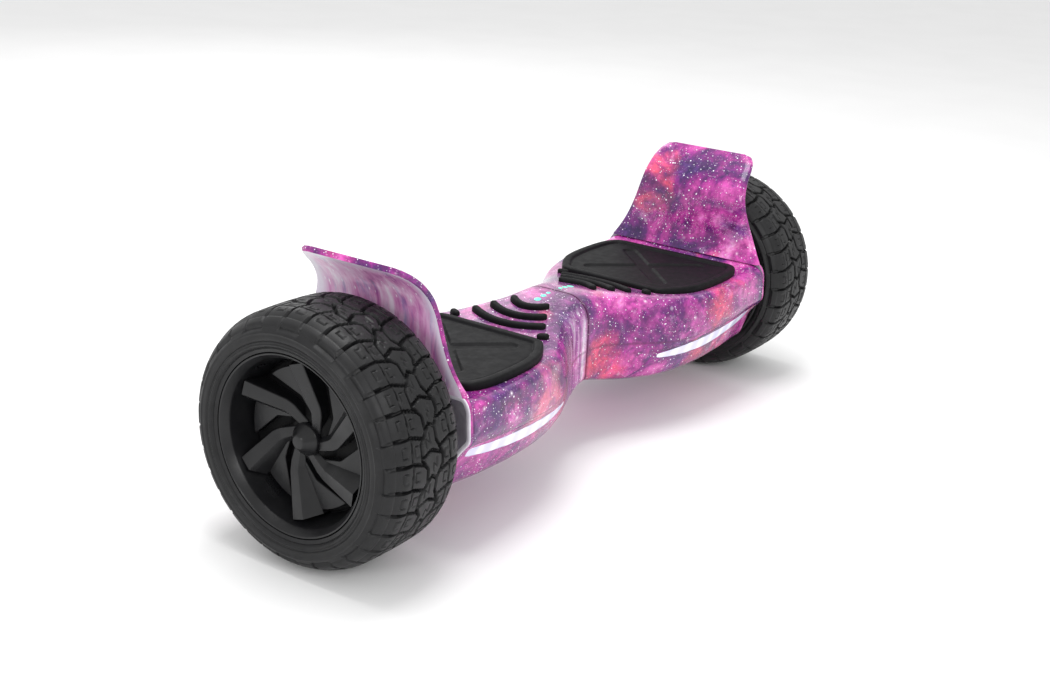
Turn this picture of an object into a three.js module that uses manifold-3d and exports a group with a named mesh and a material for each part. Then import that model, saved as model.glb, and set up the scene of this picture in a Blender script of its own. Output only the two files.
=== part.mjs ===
// Self balancing two-wheel board with off-road wheels: two body halves that twist on a central pivot,
// a hub-motor wheel at each end, sprung foot pads, a power button and a capped charge inlet.
// Millimetres. +X along the wheel axle, -Y the side with the headlights, +Z up, Z = 0 the floor.
import * as THREE from 'three';
import { mergeVertices } from 'three/addons/utils/BufferGeometryUtils.js';
import Module from 'manifold-3d';

const wasm = await Module();
wasm.setup();

// ---------------------------------------------------------------- driving dimensions
const TYRE_R = 102.5;          // tread radius
const AXLE_Z = 102.5;          // wheel axle and twist pivot height
const TREAD_SIDES = 28;        // facets round a tyre
const WALL = 3.5;              // cover wall thickness
const BODY_END = 243.9;        // outer end of the covers
const PLATE_IN = 244.3;        // end plate of the fender moulding
const PLATE_OUT = 248.6;
const GAP = 0.35;              // running gap between pieces
const PIVOT_R = 14;            // twist tube outer radius
const AXLE_R = 8;
const PAD_BOTTOM = 127.75;     // foot pad underside, in its pocket
const PAD_FIELD = 132.7;
const PAD_RIM = 134.6;
const RIB_PROUD = 4.4;

// ---------------------------------------------------------------- geometry helpers
function tidy(geometry) {
  let g = geometry.index ? geometry.toNonIndexed() : geometry.clone();
  for (const name of Object.keys(g.attributes)) if (name !== 'position') g.deleteAttribute(name);
  g = mergeVertices(g, 1e-3);
  const p = g.attributes.position.array;
  const src = g.index.array;
  const idx = [];
  let vol = 0;
  for (let i = 0; i < src.length; i += 3) {
    const [a, b, c] = [src[i], src[i + 1], src[i + 2]];
    if (a === b || b === c || a === c) continue;
    idx.push(a, b, c);
    const A = new THREE.Vector3(p[3 * a], p[3 * a + 1], p[3 * a + 2]);
    const B = new THREE.Vector3(p[3 * b], p[3 * b + 1], p[3 * b + 2]);
    const C = new THREE.Vector3(p[3 * c], p[3 * c + 1], p[3 * c + 2]);
    vol += A.dot(B.cross(C));
  }
  if (vol < 0) for (let i = 0; i < idx.length; i += 3) [idx[i + 1], idx[i + 2]] = [idx[i + 2], idx[i + 1]];
  g.setIndex(idx);
  return g;
}
const solid = (geometry) => {
  const g = tidy(geometry);
  return new wasm.Manifold(new wasm.Mesh({
    numProp: 3,
    vertProperties: new Float32Array(g.attributes.position.array),
    triVerts: new Uint32Array(g.index.array),
  }));
};
const join = (first, ...rest) => rest.reduce((a, b) => a.add(b), first);
const cut = (first, ...rest) => rest.reduce((a, b) => a.subtract(b), first);
function geometryOf(m) {
  const mesh = m.getMesh();
  const g = new THREE.BufferGeometry();
  const src = mesh.vertProperties;
  const n = mesh.numProp;
  const p = new Float32Array((src.length / n) * 3);
  for (let i = 0; i < src.length / n; i++) for (let k = 0; k < 3; k++) p[3 * i + k] = src[n * i + k];
  g.setAttribute('position', new THREE.BufferAttribute(p, 3));
  g.setIndex(Array.from(mesh.triVerts));
  return g;
}
const placed = (geometry, matrix) => geometry.clone().applyMatrix4(matrix);
function box(x0, x1, y0, y1, z0, z1) {
  const g = new THREE.BoxGeometry(x1 - x0, y1 - y0, z1 - z0);
  g.translate((x0 + x1) / 2, (y0 + y1) / 2, (z0 + z1) / 2);
  return solid(g);
}
const path2 = (points) => new THREE.Shape(points.map(([a, b]) => new THREE.Vector2(a, b)));
// outline in (x, y) raised from z0 to z1
function prismZ(points, z0, z1) {
  const g = new THREE.ExtrudeGeometry(path2(points), { depth: z1 - z0, bevelEnabled: false, curveSegments: 1 });
  g.translate(0, 0, z0);
  return solid(g);
}
// outline in (y, z) drawn from x0 to x1
function prismX(points, x0, x1) {
  const g = new THREE.ExtrudeGeometry(path2(points), { depth: x1 - x0, bevelEnabled: false, curveSegments: 1 });
  // local x -> Y, local y -> Z, local z -> X
  g.applyMatrix4(new THREE.Matrix4().set(0, 0, 1, x0, 1, 0, 0, 0, 0, 1, 0, 0, 0, 0, 0, 1));
  return solid(g);
}
// outline in (x, z) drawn from y0 to y1
function prismY(points, y0, y1) {
  const g = new THREE.ExtrudeGeometry(path2(points), { depth: y1 - y0, bevelEnabled: false, curveSegments: 1 });
  g.applyMatrix4(new THREE.Matrix4().set(1, 0, 0, 0, 0, 0, 1, y0, 0, 1, 0, 0, 0, 0, 0, 1));
  return solid(g);
}
// profile of (x, r) turned about the wheel axle line; sides flat at the bottom when the turn is half a facet
function turned(profile, sides, closed = false, flat = true) {
  const pts = profile.map(([x, r]) => new THREE.Vector2(r, x));
  if (closed) pts.push(pts[0].clone());
  const g = new THREE.LatheGeometry(pts, sides);
  // lathe axis Y -> X
  g.applyMatrix4(new THREE.Matrix4().set(0, 1, 0, 0, 0, 0, 1, 0, 1, 0, 0, 0, 0, 0, 0, 1));
  if (flat) g.rotateX(Math.PI / sides);
  g.translate(0, 0, AXLE_Z);
  return solid(g);
}
const rodX = (r, x0, x1, sides = 20) => turned([[x0, 0], [x0, r], [x1, r], [x1, 0]], sides);
function rodZ(r, x, y, z0, z1, sides = 12) {
  const g = new THREE.CylinderGeometry(r, r, z1 - z0, sides);
  g.rotateX(Math.PI / 2);
  g.translate(x, y, (z0 + z1) / 2);
  return solid(g);
}
// closed skin through equal-count loops of 3-D points, x rising from loop to loop
function loft(loops) {
  const n = loops[0].length;
  const pos = [];
  const idx = [];
  for (const loop of loops) for (const p of loop) pos.push(...p);
  const ccw = THREE.ShapeUtils.area(loops[0].map((p) => new THREE.Vector2(p[1], p[2]))) > 0;
  for (let s = 0; s + 1 < loops.length; s++) {
    for (let i = 0; i < n; i++) {
      const a = s * n + i;
      const b = s * n + ((i + 1) % n);
      if (ccw) idx.push(a, b, b + n, a, b + n, a + n);
      else idx.push(a, b + n, b, a, a + n, b + n);
    }
  }
  for (const s of [0, loops.length - 1]) {
    const ring = loops[s].map((p) => new THREE.Vector2(p[1], p[2]));
    for (const [a, b, c] of THREE.ShapeUtils.triangulateShape(ring, [])) {
      const up = (ring[b].x - ring[a].x) * (ring[c].y - ring[a].y) - (ring[b].y - ring[a].y) * (ring[c].x - ring[a].x) > 0;
      if (up === (s > 0)) idx.push(s * n + a, s * n + b, s * n + c);
      else idx.push(s * n + a, s * n + c, s * n + b);
    }
  }
  const g = new THREE.BufferGeometry();
  g.setAttribute('position', new THREE.Float32BufferAttribute(pos, 3));
  g.setIndex(idx);
  return solid(g);
}
// closed skin through rings of Vector3 with convex end rings
function skin(rings) {
  const n = rings[0].length;
  const pos = rings.flat().flatMap((v) => [v.x, v.y, v.z]);
  const idx = [];
  for (let s = 0; s + 1 < rings.length; s++) {
    for (let i = 0; i < n; i++) {
      const a = s * n + i;
      const b = s * n + ((i + 1) % n);
      idx.push(a, b, b + n, a, b + n, a + n);
    }
  }
  const last = (rings.length - 1) * n;
  for (let i = 1; i + 1 < n; i++) idx.push(0, i + 1, i, last, last + i, last + i + 1);
  const g = new THREE.BufferGeometry();
  g.setAttribute('position', new THREE.Float32BufferAttribute(pos, 3));
  g.setIndex(idx);
  return solid(g);
}
const mirrorX = (geometry) => tidy(geometry.clone().applyMatrix4(new THREE.Matrix4().makeScale(-1, 1, 1)));
const halfTurn = (geometry) => geometry.clone().rotateZ(Math.PI);

// ---------------------------------------------------------------- body section table
// x, then (y, z) from the top centre round to the bottom centre
const SECTIONS = [
  [0.3, [0, 144.4], [19, 144.4], [27.5, 141.3], [34.5, 135.2], [38.3, 126.3], [39.3, 110], [39.3, 95], [39.3, 84], [39.3, 76], [39.2, 70], [37.8, 66.5], [32, 63.5], [0, 62.5]],
  [12, [0, 143.7], [20, 143.7], [28.5, 140.6], [35.5, 134.3], [39, 125], [40.2, 110], [40.4, 95], [40.6, 84], [40.7, 76], [40.6, 70], [39.2, 65.5], [33, 61.5], [0, 60.5]],
  [30, [0, 141.3], [23.5, 141.3], [32, 138.3], [38.5, 131.8], [42, 122], [43.6, 108], [44.3, 94], [44.7, 83], [44.9, 74], [44.8, 67], [43.3, 61.8], [36, 57.5], [0, 56.5]],
  [50, [0, 138], [33, 138], [41, 135], [47, 128.5], [50.6, 118], [52.6, 105], [53, 92], [53, 82], [52.8, 72], [52, 63.5], [49.3, 57], [40, 53], [0, 52]],
  [75, [0, 133.2], [48.5, 133.2], [56, 130.4], [61.8, 124.5], [65.3, 114], [67.2, 102], [67.4, 90], [66.5, 81], [64.8, 71], [62.3, 62], [57.5, 54.5], [47, 49.5], [0, 48]],
  [100, [0, 129.8], [65.5, 129.8], [70.8, 127.8], [74.5, 123], [77, 112], [78.2, 100], [77.8, 88], [75.5, 80.5], [71.8, 70.5], [69.3, 61.5], [64, 52.5], [53, 47], [0, 45]],
  [130, [0, 128.2], [77, 128.2], [81.3, 126.8], [84, 123], [86, 112], [86.5, 100], [84.5, 88.5], [81.3, 82], [77, 70.5], [74, 61], [68.5, 52], [57, 45.5], [0, 43]],
  [165, [0, 128], [84, 128], [87.3, 126.9], [89.2, 123.8], [90.3, 113], [90.3, 101], [87.3, 90.5], [83.5, 84], [79.3, 71.5], [76, 61.5], [70.3, 52], [58, 44.5], [0, 41.5]],
  [200, [0, 128], [86, 128], [89, 127], [91, 124.2], [92, 113], [92.2, 100.5], [88.7, 92], [84.3, 85.7], [79, 73.5], [75.5, 63], [70.3, 53], [58, 45], [0, 41.5]],
  [227, [0, 128.1], [86, 128.1], [89.2, 127.2], [91, 125], [92.4, 113], [92.8, 99.8], [88.4, 92.9], [83.2, 86.8], [78.6, 77.8], [75, 66.8], [70.3, 55.6], [58, 46.5], [0, 43]],
  [235, [0, 129.9], [81, 129.9], [86.8, 128.6], [90.9, 125.4], [92.5, 113], [92.9, 99.5], [88.2, 93], [82.7, 87], [78.1, 79], [75, 68], [70.4, 56.4], [58, 47], [0, 43.7]],
  [BODY_END, [0, 133.6], [78, 133.6], [85.3, 131.2], [91.2, 125.8], [92.6, 113], [93, 99.2], [87.8, 93], [81.9, 86.8], [77.8, 80], [75, 70], [70.5, 57.2], [58, 47.8], [0, 44.5]],
];
function inward(half, t) {
  // moves a half outline (top centre to bottom centre) inwards by t
  const out = [];
  for (let i = 0; i < half.length; i++) {
    const [y, z] = half[i];
    if (i === 0) { out.push([0, z - t]); continue; }
    if (i === half.length - 1) { out.push([0, z + t]); continue; }
    const d1 = [half[i][0] - half[i - 1][0], half[i][1] - half[i - 1][1]];
    const d2 = [half[i + 1][0] - half[i][0], half[i + 1][1] - half[i][1]];
    const l1 = Math.hypot(...d1);
    const l2 = Math.hypot(...d2);
    // path runs clockwise in (y, z): inward normal is (dz, -dy) turned to the axis side
    const n1 = [d1[1] / l1, -d1[0] / l1];
    const n2 = [d2[1] / l2, -d2[0] / l2];
    const s = [n1[0] + n2[0], n1[1] + n2[1]];
    const l = Math.hypot(...s);
    const m = [s[0] / l, s[1] / l];
    const k = t / Math.max(0.6, m[0] * n1[0] + m[1] * n1[1]);
    out.push([y + m[0] * k, z + m[1] * k]);
  }
  return out;
}
const ringOf = (x, half) => [
  ...half.map(([y, z]) => [x, y, z]),
  ...half.slice(1, -1).reverse().map(([y, z]) => [x, -y, z]),
];
function sectionAt(x) {
  const rows = SECTIONS;
  if (x <= rows[0][0]) return rows[0].slice(1);
  for (let i = 0; i + 1 < rows.length; i++) {
    if (x <= rows[i + 1][0]) {
      const t = (x - rows[i][0]) / (rows[i + 1][0] - rows[i][0]);
      return rows[i].slice(1).map((p, k) => [p[0] + (rows[i + 1][k + 1][0] - p[0]) * t, p[1] + (rows[i + 1][k + 1][1] - p[1]) * t]);
    }
  }
  return rows[rows.length - 1].slice(1);
}
const topZ = (x) => sectionAt(Math.abs(x))[0][1];

const outer = loft(SECTIONS.filter(([x]) => x !== 12 && x !== 235).map(([x, ...half]) => ringOf(x, half)));
const innerRows = [3.6, 30, 75, 100, 165, 227, BODY_END + 3].map((x) => [x, ...sectionAt(x)]);
const INNER_POINTS = [0, 1, 3, 4, 6, 8, 10, 11, 12];
const hollow = loft(innerRows.map(([x, ...half]) => ringOf(x, inward(half, WALL).filter((p, i) => INNER_POINTS.includes(i)))));
const shell = outer.subtract(hollow);
const SEAM = [[-5, 65], [30, 60], [52, 56.5], [64, 64], [74, 77], [80, 79.2], [90, 80.4], [100, 81.4], [130, 84.5], [165, 87], [200, 89], [250, 92.8]];
const belowSeam = (d) => prismY([...SEAM.map(([x, z]) => [x, z + d]), [250, 0], [-5, 0]], -140, 140);
const aboveSeam = (d) => prismY([...SEAM.map(([x, z]) => [x, z + d]), [250, 200], [-5, 200]], -140, 140);

// ---------------------------------------------------------------- outlines on the deck
const PAD_HALF = [[96, 0], [96, 47], [98.6, 55.5], [108, 62.5], [120, 69.6], [133, 74.9], [150, 77.8], [170, 78.8], [192, 78.5], [206, 77], [216.5, 73.8], [223, 69], [226, 61.5], [226, 0]];
const grow = (points, d) => {
  // offsets a closed outline by d (positive outwards)
  const n = points.length;
  const sign = THREE.ShapeUtils.area(points.map(([a, b]) => new THREE.Vector2(a, b))) > 0 ? 1 : -1;
  return points.map((p, i) => {
    const a = points[(i + n - 1) % n];
    const b = points[(i + 1) % n];
    const u = [p[0] - a[0], p[1] - a[1]];
    const v = [b[0] - p[0], b[1] - p[1]];
    const lu = Math.hypot(...u);
    const lv = Math.hypot(...v);
    const nu = [u[1] / lu, -u[0] / lu];
    const nv = [v[1] / lv, -v[0] / lv];
    const s = [nu[0] + nv[0], nu[1] + nv[1]];
    const l = Math.hypot(...s);
    const m = [s[0] / l, s[1] / l];
    const k = (sign * d) / Math.max(0.5, m[0] * nu[0] + m[1] * nu[1]);
    return [p[0] + m[0] * k, p[1] + m[1] * k];
  });
};
const padOutline = (d = 0) => {
  const half = PAD_HALF.slice(1, -1);
  return grow([...half, ...half.slice().reverse().map(([x, y]) => [x, -y])], d);
};
// one arm of the cross in the pad's tread
const crossArm = (sign) => {
  const [cx, hx, hy, w] = [162, 42, 43, 6.6];
  const l = Math.hypot(hx, hy);
  const n = [(-hy * sign) / l * w, (hx / l) * w];
  return [[cx - hx - n[0], -hy * sign - n[1]], [cx + hx - n[0], hy * sign - n[1]], [cx + hx + n[0], hy * sign + n[1]], [cx - hx + n[0], -hy * sign + n[1]]];
};
// grip bars: tip x, tip y, middle x
const BARS = [[36.4, 19.5, 46], [54.5, 29.5, 64], [69.4, 38.5, 81]];
const STUB = [86.5, 47];
function barOutline([tx, ty, mx], w) {
  const line = [];
  for (let i = 0; i <= 4; i++) {
    const s = -1 + i / 2;
    line.push([mx - (mx - tx) * s * s, ty * s]);
  }
  const a = [];
  const b = [];
  for (let i = 0; i < line.length; i++) {
    const p = line[Math.max(0, i - 1)];
    const q = line[Math.min(line.length - 1, i + 1)];
    const l = Math.hypot(q[0] - p[0], q[1] - p[1]);
    const n = [(-(q[1] - p[1]) / l) * w, ((q[0] - p[0]) / l) * w];
    a.push([line[i][0] + n[0], line[i][1] + n[1]]);
    b.push([line[i][0] - n[0], line[i][1] - n[1]]);
  }
  const tip = (i, dir) => {
    const q = line[i];
    const p = line[i - dir];
    const l = Math.hypot(q[0] - p[0], q[1] - p[1]);
    return [q[0] + ((q[0] - p[0]) / l) * w, q[1] + ((q[1] - p[1]) / l) * w];
  };
  return [tip(0, -1), ...a, tip(line.length - 1, 1), ...b.reverse()];
}
const stubOutline = (sy, w) => {
  const [x, y] = STUB;
  const d = [0.45, -0.89 * sy];
  const n = [-d[1] * w, d[0] * w];
  const p = [x, y * sy];
  const q = [x + d[0] * 5, (y * sy) + d[1] * 5];
  return [[p[0] - d[0] * w, p[1] - d[1] * w], [p[0] + n[0], p[1] + n[1]], [q[0] + n[0], q[1] + n[1]], [q[0] + d[0] * w * 0.5, q[1] + d[1] * w * 0.5], [q[0] - n[0], q[1] - n[1]], [p[0] - n[0], p[1] - n[1]]];
};
const DOTS = [[9.9, 2.1], [17.7, 2.7], [26.7, 3.3]];
const PLUNGERS = [[135, 30], [135, -30], [192, 30], [192, -30]];

// ---------------------------------------------------------------- headlight path on the lower cover
const LENS = [[80, 77.6, 74], [95, 79.2, 72.2], [120, 81, 70.6], [150, 81.6, 70.4], [180, 82.8, 72], [210, 85.2, 75.6], [236, 88.2, 80.4]]; // x, top z, bottom z
function wallY(x, z) {
  const half = sectionAt(x);
  for (let i = 3; i + 1 < half.length; i++) {
    const [a, b] = [half[i], half[i + 1]];
    if (z <= a[1] && z >= b[1] && a[1] !== b[1]) return a[0] + ((b[0] - a[0]) * (a[1] - z)) / (a[1] - b[1]);
  }
  return half[6][0];
}
function lensSolid(spread, out, inn, sign = -1) {
  const rows = LENS.map(([x, zt, zb], i) => {
    const xx = i === 0 ? x - spread : i === LENS.length - 1 ? x + spread : x;
    const [t, b] = [zt + spread, zb - spread];
    return [[xx, sign * (wallY(x, zt) + out), t], [xx, sign * (wallY(x, zb) + out), b], [xx, sign * (wallY(x, zb) - inn), b], [xx, sign * (wallY(x, zt) - inn), t]];
  });
  return loft(rows);
}

// ---------------------------------------------------------------- covers
const PORT = { x: 112, z: 68.5, y: 79.5 };      // charge inlet, rear of the right half
const BUTTON = { x: 112, z: 71 };               // power button, rear of the left half
const TILT = 0.33;                              // how far the rear wall leans under
function rodRear(r, x, y0, y1, z, sides = 14, lean = 0) {
  const g = new THREE.CylinderGeometry(r, r, y1 - y0, sides);
  g.translate(0, (y0 + y1) / 2, 0);
  g.rotateX(-lean);
  g.translate(x, 0, z);
  return solid(g);
}
const upperBlank = cut(
  shell.subtract(belowSeam(0.2)),
  prismZ(padOutline(0.45), 126, 140),
  rodX(PIVOT_R + 1.2, -2, 6, 18),
  ...PLUNGERS.map(([x, y]) => rodZ(4.6, x, y, 120, 130, 8)),
  ...BARS.map((b) => prismZ(barOutline(b, 3.9), 118, 150)),
  ...[1, -1].map((s) => prismZ(stubOutline(s, 3.7), 118, 150)),
  ...DOTS.map(([x, r]) => rodZ(r + 0.35, x, 0, 132, 150, 10)),
);
const lowerBlank = shell.subtract(aboveSeam(-0.2));
const upperCover = geometryOf(upperBlank);
const BUTTON_Y = 74.6;
const buttonFrame = (g) => { g.rotateX(-TILT); g.translate(BUTTON.x, BUTTON_Y, BUTTON.z); return g; };
function rearRod(r, a, b, sides = 14) {
  const g = new THREE.CylinderGeometry(r, r, b - a, sides);
  g.translate(0, (a + b) / 2, 0);
  return solid(buttonFrame(g));
}
const lensCut = lensSolid(0.35, 6, 8);
const leftLower = geometryOf(cut(lowerBlank, lensCut, rearRod(10.4, -12, 12), rearRod(12, 0.9, 12)));
const rightLower = geometryOf(cut(lowerBlank, lensCut, rodRear(9.4, PORT.x, 60, 95, PORT.z), rodRear(10.9, PORT.x, PORT.y - 1.5, 95, PORT.z)));

// ---------------------------------------------------------------- fender with the end plate
const END = [[91.3, 126], [93, 99], [87.7, 93], [77.8, 80], [75, 70], [70.5, 57], [58, 47.6], [0, 44.3]];
const SIDE = [[86.8, 134], [81.8, 142], [77.5, 150], [73.6, 158], [70.1, 166], [67, 174], [64.2, 182], [61.9, 190], [60.1, 198], [58.9, 206], [57.5, 214], [56.4, 221], [53.6, 227.5], [48.5, 231.6], [42, 234.4], [0, 235]];
const fenderYZ = (() => {
  const right = [...END.slice().reverse(), ...SIDE];
  const left = right.slice(1, -1).reverse().map(([y, z]) => [-y, z]);
  return [...right, ...left];
})();
const FENDER_IN = [[240.9, 134], [242, 136.6], [244.2, 142], [246.2, 150], [247, 160], [246.8, 174], [246.6, 184], [247.4, 194], [249.8, 203], [253.8, 210.5], [260, 218], [268.5, 225.6], [281, 234.4]];
const FENDER_OUT = [[283.5, 230.4], [272, 222.2], [263.7, 214.8], [257.8, 207.6], [254.1, 200.8], [251.8, 193], [251.1, 184], [251.3, 174], [251.4, 160], [250.5, 149.5], [249, 141], [PLATE_OUT, 134], [PLATE_OUT, 30], [PLATE_IN, 30], [PLATE_IN, 134]];
const fender = geometryOf(cut(prismY([...FENDER_IN, ...FENDER_OUT], -140, 140).intersect(prismX(fenderYZ, 200, 300)), rodX(15, 240, 255, 16)));

// ---------------------------------------------------------------- rubber parts
const ribTop = (x) => topZ(x) + RIB_PROUD;
const grips = geometryOf(join(
  box(33, 94, -24, 24, 123.4, 126.2),
  box(62, 94, -49, 49, 123.4, 126.2),
  box(48, 78, -36, 36, 123.4, 126.2),
  ...BARS.map((b) => prismZ(barOutline(b, 3.55), 124, (ribTop(b[0]) + ribTop(b[2])) / 2)),
  ...[1, -1].map((s) => prismZ(stubOutline(s, 3.35), 124, ribTop(STUB[0]))),
));
const pad = geometryOf(join(
  cut(prismZ(padOutline(0), PAD_BOTTOM, PAD_RIM),
    prismZ(padOutline(-8.5), PAD_FIELD, 140),
    prismZ(crossArm(1), PAD_FIELD - 1.4, 140),
    prismZ(crossArm(-1), PAD_FIELD - 1.4, 140)),
  ...PLUNGERS.map(([x, y]) => rodZ(4, x, y, 119.2, 128.5, 8)),
));
const dots = geometryOf(join(box(7, 31, -2.2, 2.2, 128, 131), ...DOTS.map(([x, r]) => rodZ(r, x, 0, 129, topZ(x) + 0.15, 10))));

// ---------------------------------------------------------------- lights
const lens = geometryOf(lensSolid(0, 0, 2.6));
const ledBar = geometryOf(loft(LENS.slice(1, -1).map(([x, zt, zb]) => {
  const zm = (zt + zb) / 2;
  const y = -(wallY(x, zm) - 4.6);
  return [[x, y, zm + 2.5], [x, y, zm - 2.5], [x, y + 1.6, zm - 2.5], [x, y + 1.6, zm + 2.5]];
})));

// ---------------------------------------------------------------- skeleton
const plate = join(
  box(24, 238, -34, 34, 84, 88),
  box(60, 204, 29, 34, 88, 97),
  box(60, 204, -34, -29, 88, 97),
  box(206, 238, -18, 18, 88, AXLE_Z - 0.2),
  ...[[124, 24], [124, -24], [200, 24], [200, -24]].map(([x, y]) => box(x - 3, x + 3, y - 3, y + 3, 88, 114.1)),
);
const boss = (x0, x1, r) => rodX(r, x0, x1, 18);
const axleSlot = rodX(AXLE_R + 0.3, 200, 245, 14);
const clampHoles = [12.8, -12.8].map((y) => rodZ(2.9, 222, y, 89, 125, 10));
const rightFrame = geometryOf(cut(join(plate, boss(16, 64, 20.4)), rodX(17.35, 0, 68.5, 18), rodX(19.6, 64.1, 67, 18), axleSlot, ...clampHoles, box(36.5, 43.5, -7.2, 7.2, 112, 130)));
const leftFrame = geometryOf(cut(join(plate, boss(8, 64, 19.5)), rodX(PIVOT_R + 0.3, 0, 70, 18), axleSlot, ...clampHoles));
const clamp = geometryOf(cut(box(208, 236, -18, 18, AXLE_Z + 0.2, 115), axleSlot, ...clampHoles));
const bolt = (y) => geometryOf(join(rodZ(2.5, 222, y, 89.5, 117, 10), rodZ(4.4, 222, y, 115.35, 119.6, 6)));
const axle = geometryOf(turned([[206.5, 0], [206.5, AXLE_R], [252, AXLE_R], [252, 10.8], [261, 10.8], [261, AXLE_R], [310.5, AXLE_R], [310.5, 0]], 14));
const stator = geometryOf(turned([[278, 8.35], [278, 22], [282, 26], [282, 52], [306, 52], [306, 26], [308, 22], [308, 8.35]], 16, true));
const bearing = geometryOf(turned([[267.6, 8.35], [267.6, 11.65], [273.6, 11.65], [273.6, 8.35]], 14, true));
const tube = geometryOf(cut(turned([[-66, 10], [-66, PIVOT_R], [69, PIVOT_R], [69, 10]], 18, true), rodZ(2.85, 40, 0, 108, 125, 8)));
const bush = (x0, x1) => geometryOf(turned([[x0, PIVOT_R + 0.3], [x0, 17], [x1, 17], [x1, PIVOT_R + 0.3]], 18, true));
const circlip = geometryOf(cut(turned([[64.5, PIVOT_R + 0.3], [64.5, 19], [66.3, 19], [66.3, PIVOT_R + 0.3]], 18, true), box(60, 70, -3, 3, 80, 100)));
const stopPin = geometryOf(rodZ(2.5, 40, 0, 113.2, 122.4, 10));
const linkCable = geometryOf(rodX(5, -84, 84, 10));
const sensorBoard = geometryOf(join(box(118, 206, -38, 38, 114.4, 116), ...PLUNGERS.map(([x, y]) => box(x - 4, x + 4, y - 4, y + 4, 115.5, 117.2))));
const gyroBoard = geometryOf(join(box(72, 98, -18, 18, 88.35, 90), box(78, 86, -5, 5, 89.5, 91.5)));
const mainBoard = geometryOf(join(box(112, 196, -20.5, 20.5, 88.35, 90), box(120, 150, -18, -6, 89.5, 97), ...[[160, -12], [174, -12], [188, -12]].map(([x, y]) => rodZ(5, x, y, 89.5, 103, 10))));
const battery = geometryOf(join(box(98, 222, -36, 36, 51.2, 79), box(100, 220, -33, 33, 78, 83.5)));
const motorCable = (() => {
  const curve = new THREE.CatmullRomCurve3([new THREE.Vector3(206.1, 0, AXLE_Z), new THREE.Vector3(200, 0, AXLE_Z), new THREE.Vector3(190, 6, 100), new THREE.Vector3(150, 12, 97.5), new THREE.Vector3(100, 10, 98), new THREE.Vector3(86, 8, 99)]);
  const ring = new THREE.Shape();
  ring.absarc(0, 0, 3, 0, Math.PI * 2);
  const g = new THREE.ExtrudeGeometry(ring, { steps: 10, extrudePath: curve, curveSegments: 2 });
  return tidy(g);
})();

// ---------------------------------------------------------------- wheels
const rim = geometryOf(turned([[317, 0], [317, 61.5], [342, 66], [348.6, 70.2], [348.6, 71.7], [341.2, 67.2], [272.2, 67], [272.2, 74], [268, 74], [268, 12], [273.9, 12], [273.9, 57], [312.8, 57], [312.8, 0]], 24));
const tyreR = TYRE_R / Math.cos(Math.PI / TREAD_SIDES);
const tyre = geometryOf(turned([
  [344.4, 71.9], [348.6, 72.4], [352, 84], [341.5, 97.5], [330, tyreR], [283, tyreR], [271.3, 97.5], [264, 84], [267.6, 74.7],
  [272.6, 74.7], [272.6, 67.9], [278, 67.9], [276, 88], [286, 95], [328, 95], [338, 88], [336, 67.9], [340.6, 68]], TREAD_SIDES, true));
// wheel trim: six kinked blades over a stepped disc. u to the board's front, v up, d outwards
const blade = (end) => {
  const at = (deg, r) => [r * Math.cos((deg * Math.PI) / 180), r * Math.sin((deg * Math.PI) / 180)];
  const line = [at(end - 46, 16.2), at(end - 36, 29), at(end, 56.8)];
  const widths = [5.6, 7.5, 9.2];
  const rings = line.map((p, i) => {
    const a = line[Math.max(0, i - 1)];
    const b = line[Math.min(2, i + 1)];
    const l = Math.hypot(b[0] - a[0], b[1] - a[1]);
    const n = [-(b[1] - a[1]) / l, (b[0] - a[0]) / l];
    const w = widths[i];
    const q = (k, d) => new THREE.Vector3(d, -(p[0] + n[0] * k), AXLE_Z + p[1] + n[1] * k);
    return [q(-w, 320), q(-w, 334), q(0.12 * w, 339.5), q(w, 329), q(w, 320)];
  });
  return skin(rings);
};
const trim = geometryOf(join(
  turned([[317.4, 3.4], [317.4, 60], [322, 60], [325, 55], [325, 22], [325.8, 14], [325.8, 3.4]], 24, true),
  ...[35, 95, 155, 215, 275, 335].map(blade),
));
const nose = geometryOf(turned([[317.5, 0], [317.5, 3], [326.2, 3], [326.2, 13.3], [330, 12.6], [337, 6], [338, 5.4], [338, 0]], 16));

// ---------------------------------------------------------------- rear controls
const buttonRing = geometryOf(cut(join(rearRod(10, -6, 2), rearRod(11.6, 1.2, 2.6)), rearRod(7.4, -10, 10)));
const button = geometryOf(join(rearRod(7, -8, 3.6), rearRod(8.6, -9.5, -8)));
const port = geometryOf(join(cut(join(rodRear(9, PORT.x, 64, PORT.y - 1, PORT.z), rodRear(10.5, PORT.x, PORT.y + 0.1 - 1.3, PORT.y + 0.6, PORT.z)), rodRear(6.4, PORT.x, 67, 90, PORT.z)), ...[[0, 3], [2.8, -2], [-2.8, -2]].map(([dx, dz]) => rodRear(0.8, PORT.x + dx, 66, 71.5, PORT.z + dz, 6))));
const cap = geometryOf(join(rodRear(10.2, PORT.x, PORT.y + 1, PORT.y + 3, PORT.z), box(PORT.x - 4, PORT.x + 4, PORT.y + 1, PORT.y + 3, PORT.z + 7, PORT.z + 12)));

// ---------------------------------------------------------------- finish and assembly
const mat = (color, roughness, metalness = 0, extra = {}) => new THREE.MeshStandardMaterial({ color, roughness, metalness, ...extra });
const PAINT = mat(0xa8479a, 0.3);
const PAINT_LOW = mat(0xb0558f, 0.3);
const RUBBER = mat(0x2a2a2c, 0.85);
const TYRE = mat(0x1c1c1e, 0.8);
const BLACK = mat(0x202022, 0.5);
const ALU = mat(0xa9adb2, 0.45, 0.9);
const STEEL = mat(0x8d9095, 0.35, 1);
const COPPER = mat(0x7d4a2e, 0.5, 0.6);
const BOARD = mat(0x1d5c3a, 0.6);
const WRAP = mat(0x2b4fa0, 0.6);
const NYLON = mat(0xe6e3dc, 0.6);
const LENS_M = mat(0xe9e6ff, 0.15, 0, { emissive: 0x9c98d8 });
const MINT = mat(0x9ff5e2, 0.3, 0, { emissive: 0x6fe0c8 });

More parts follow.
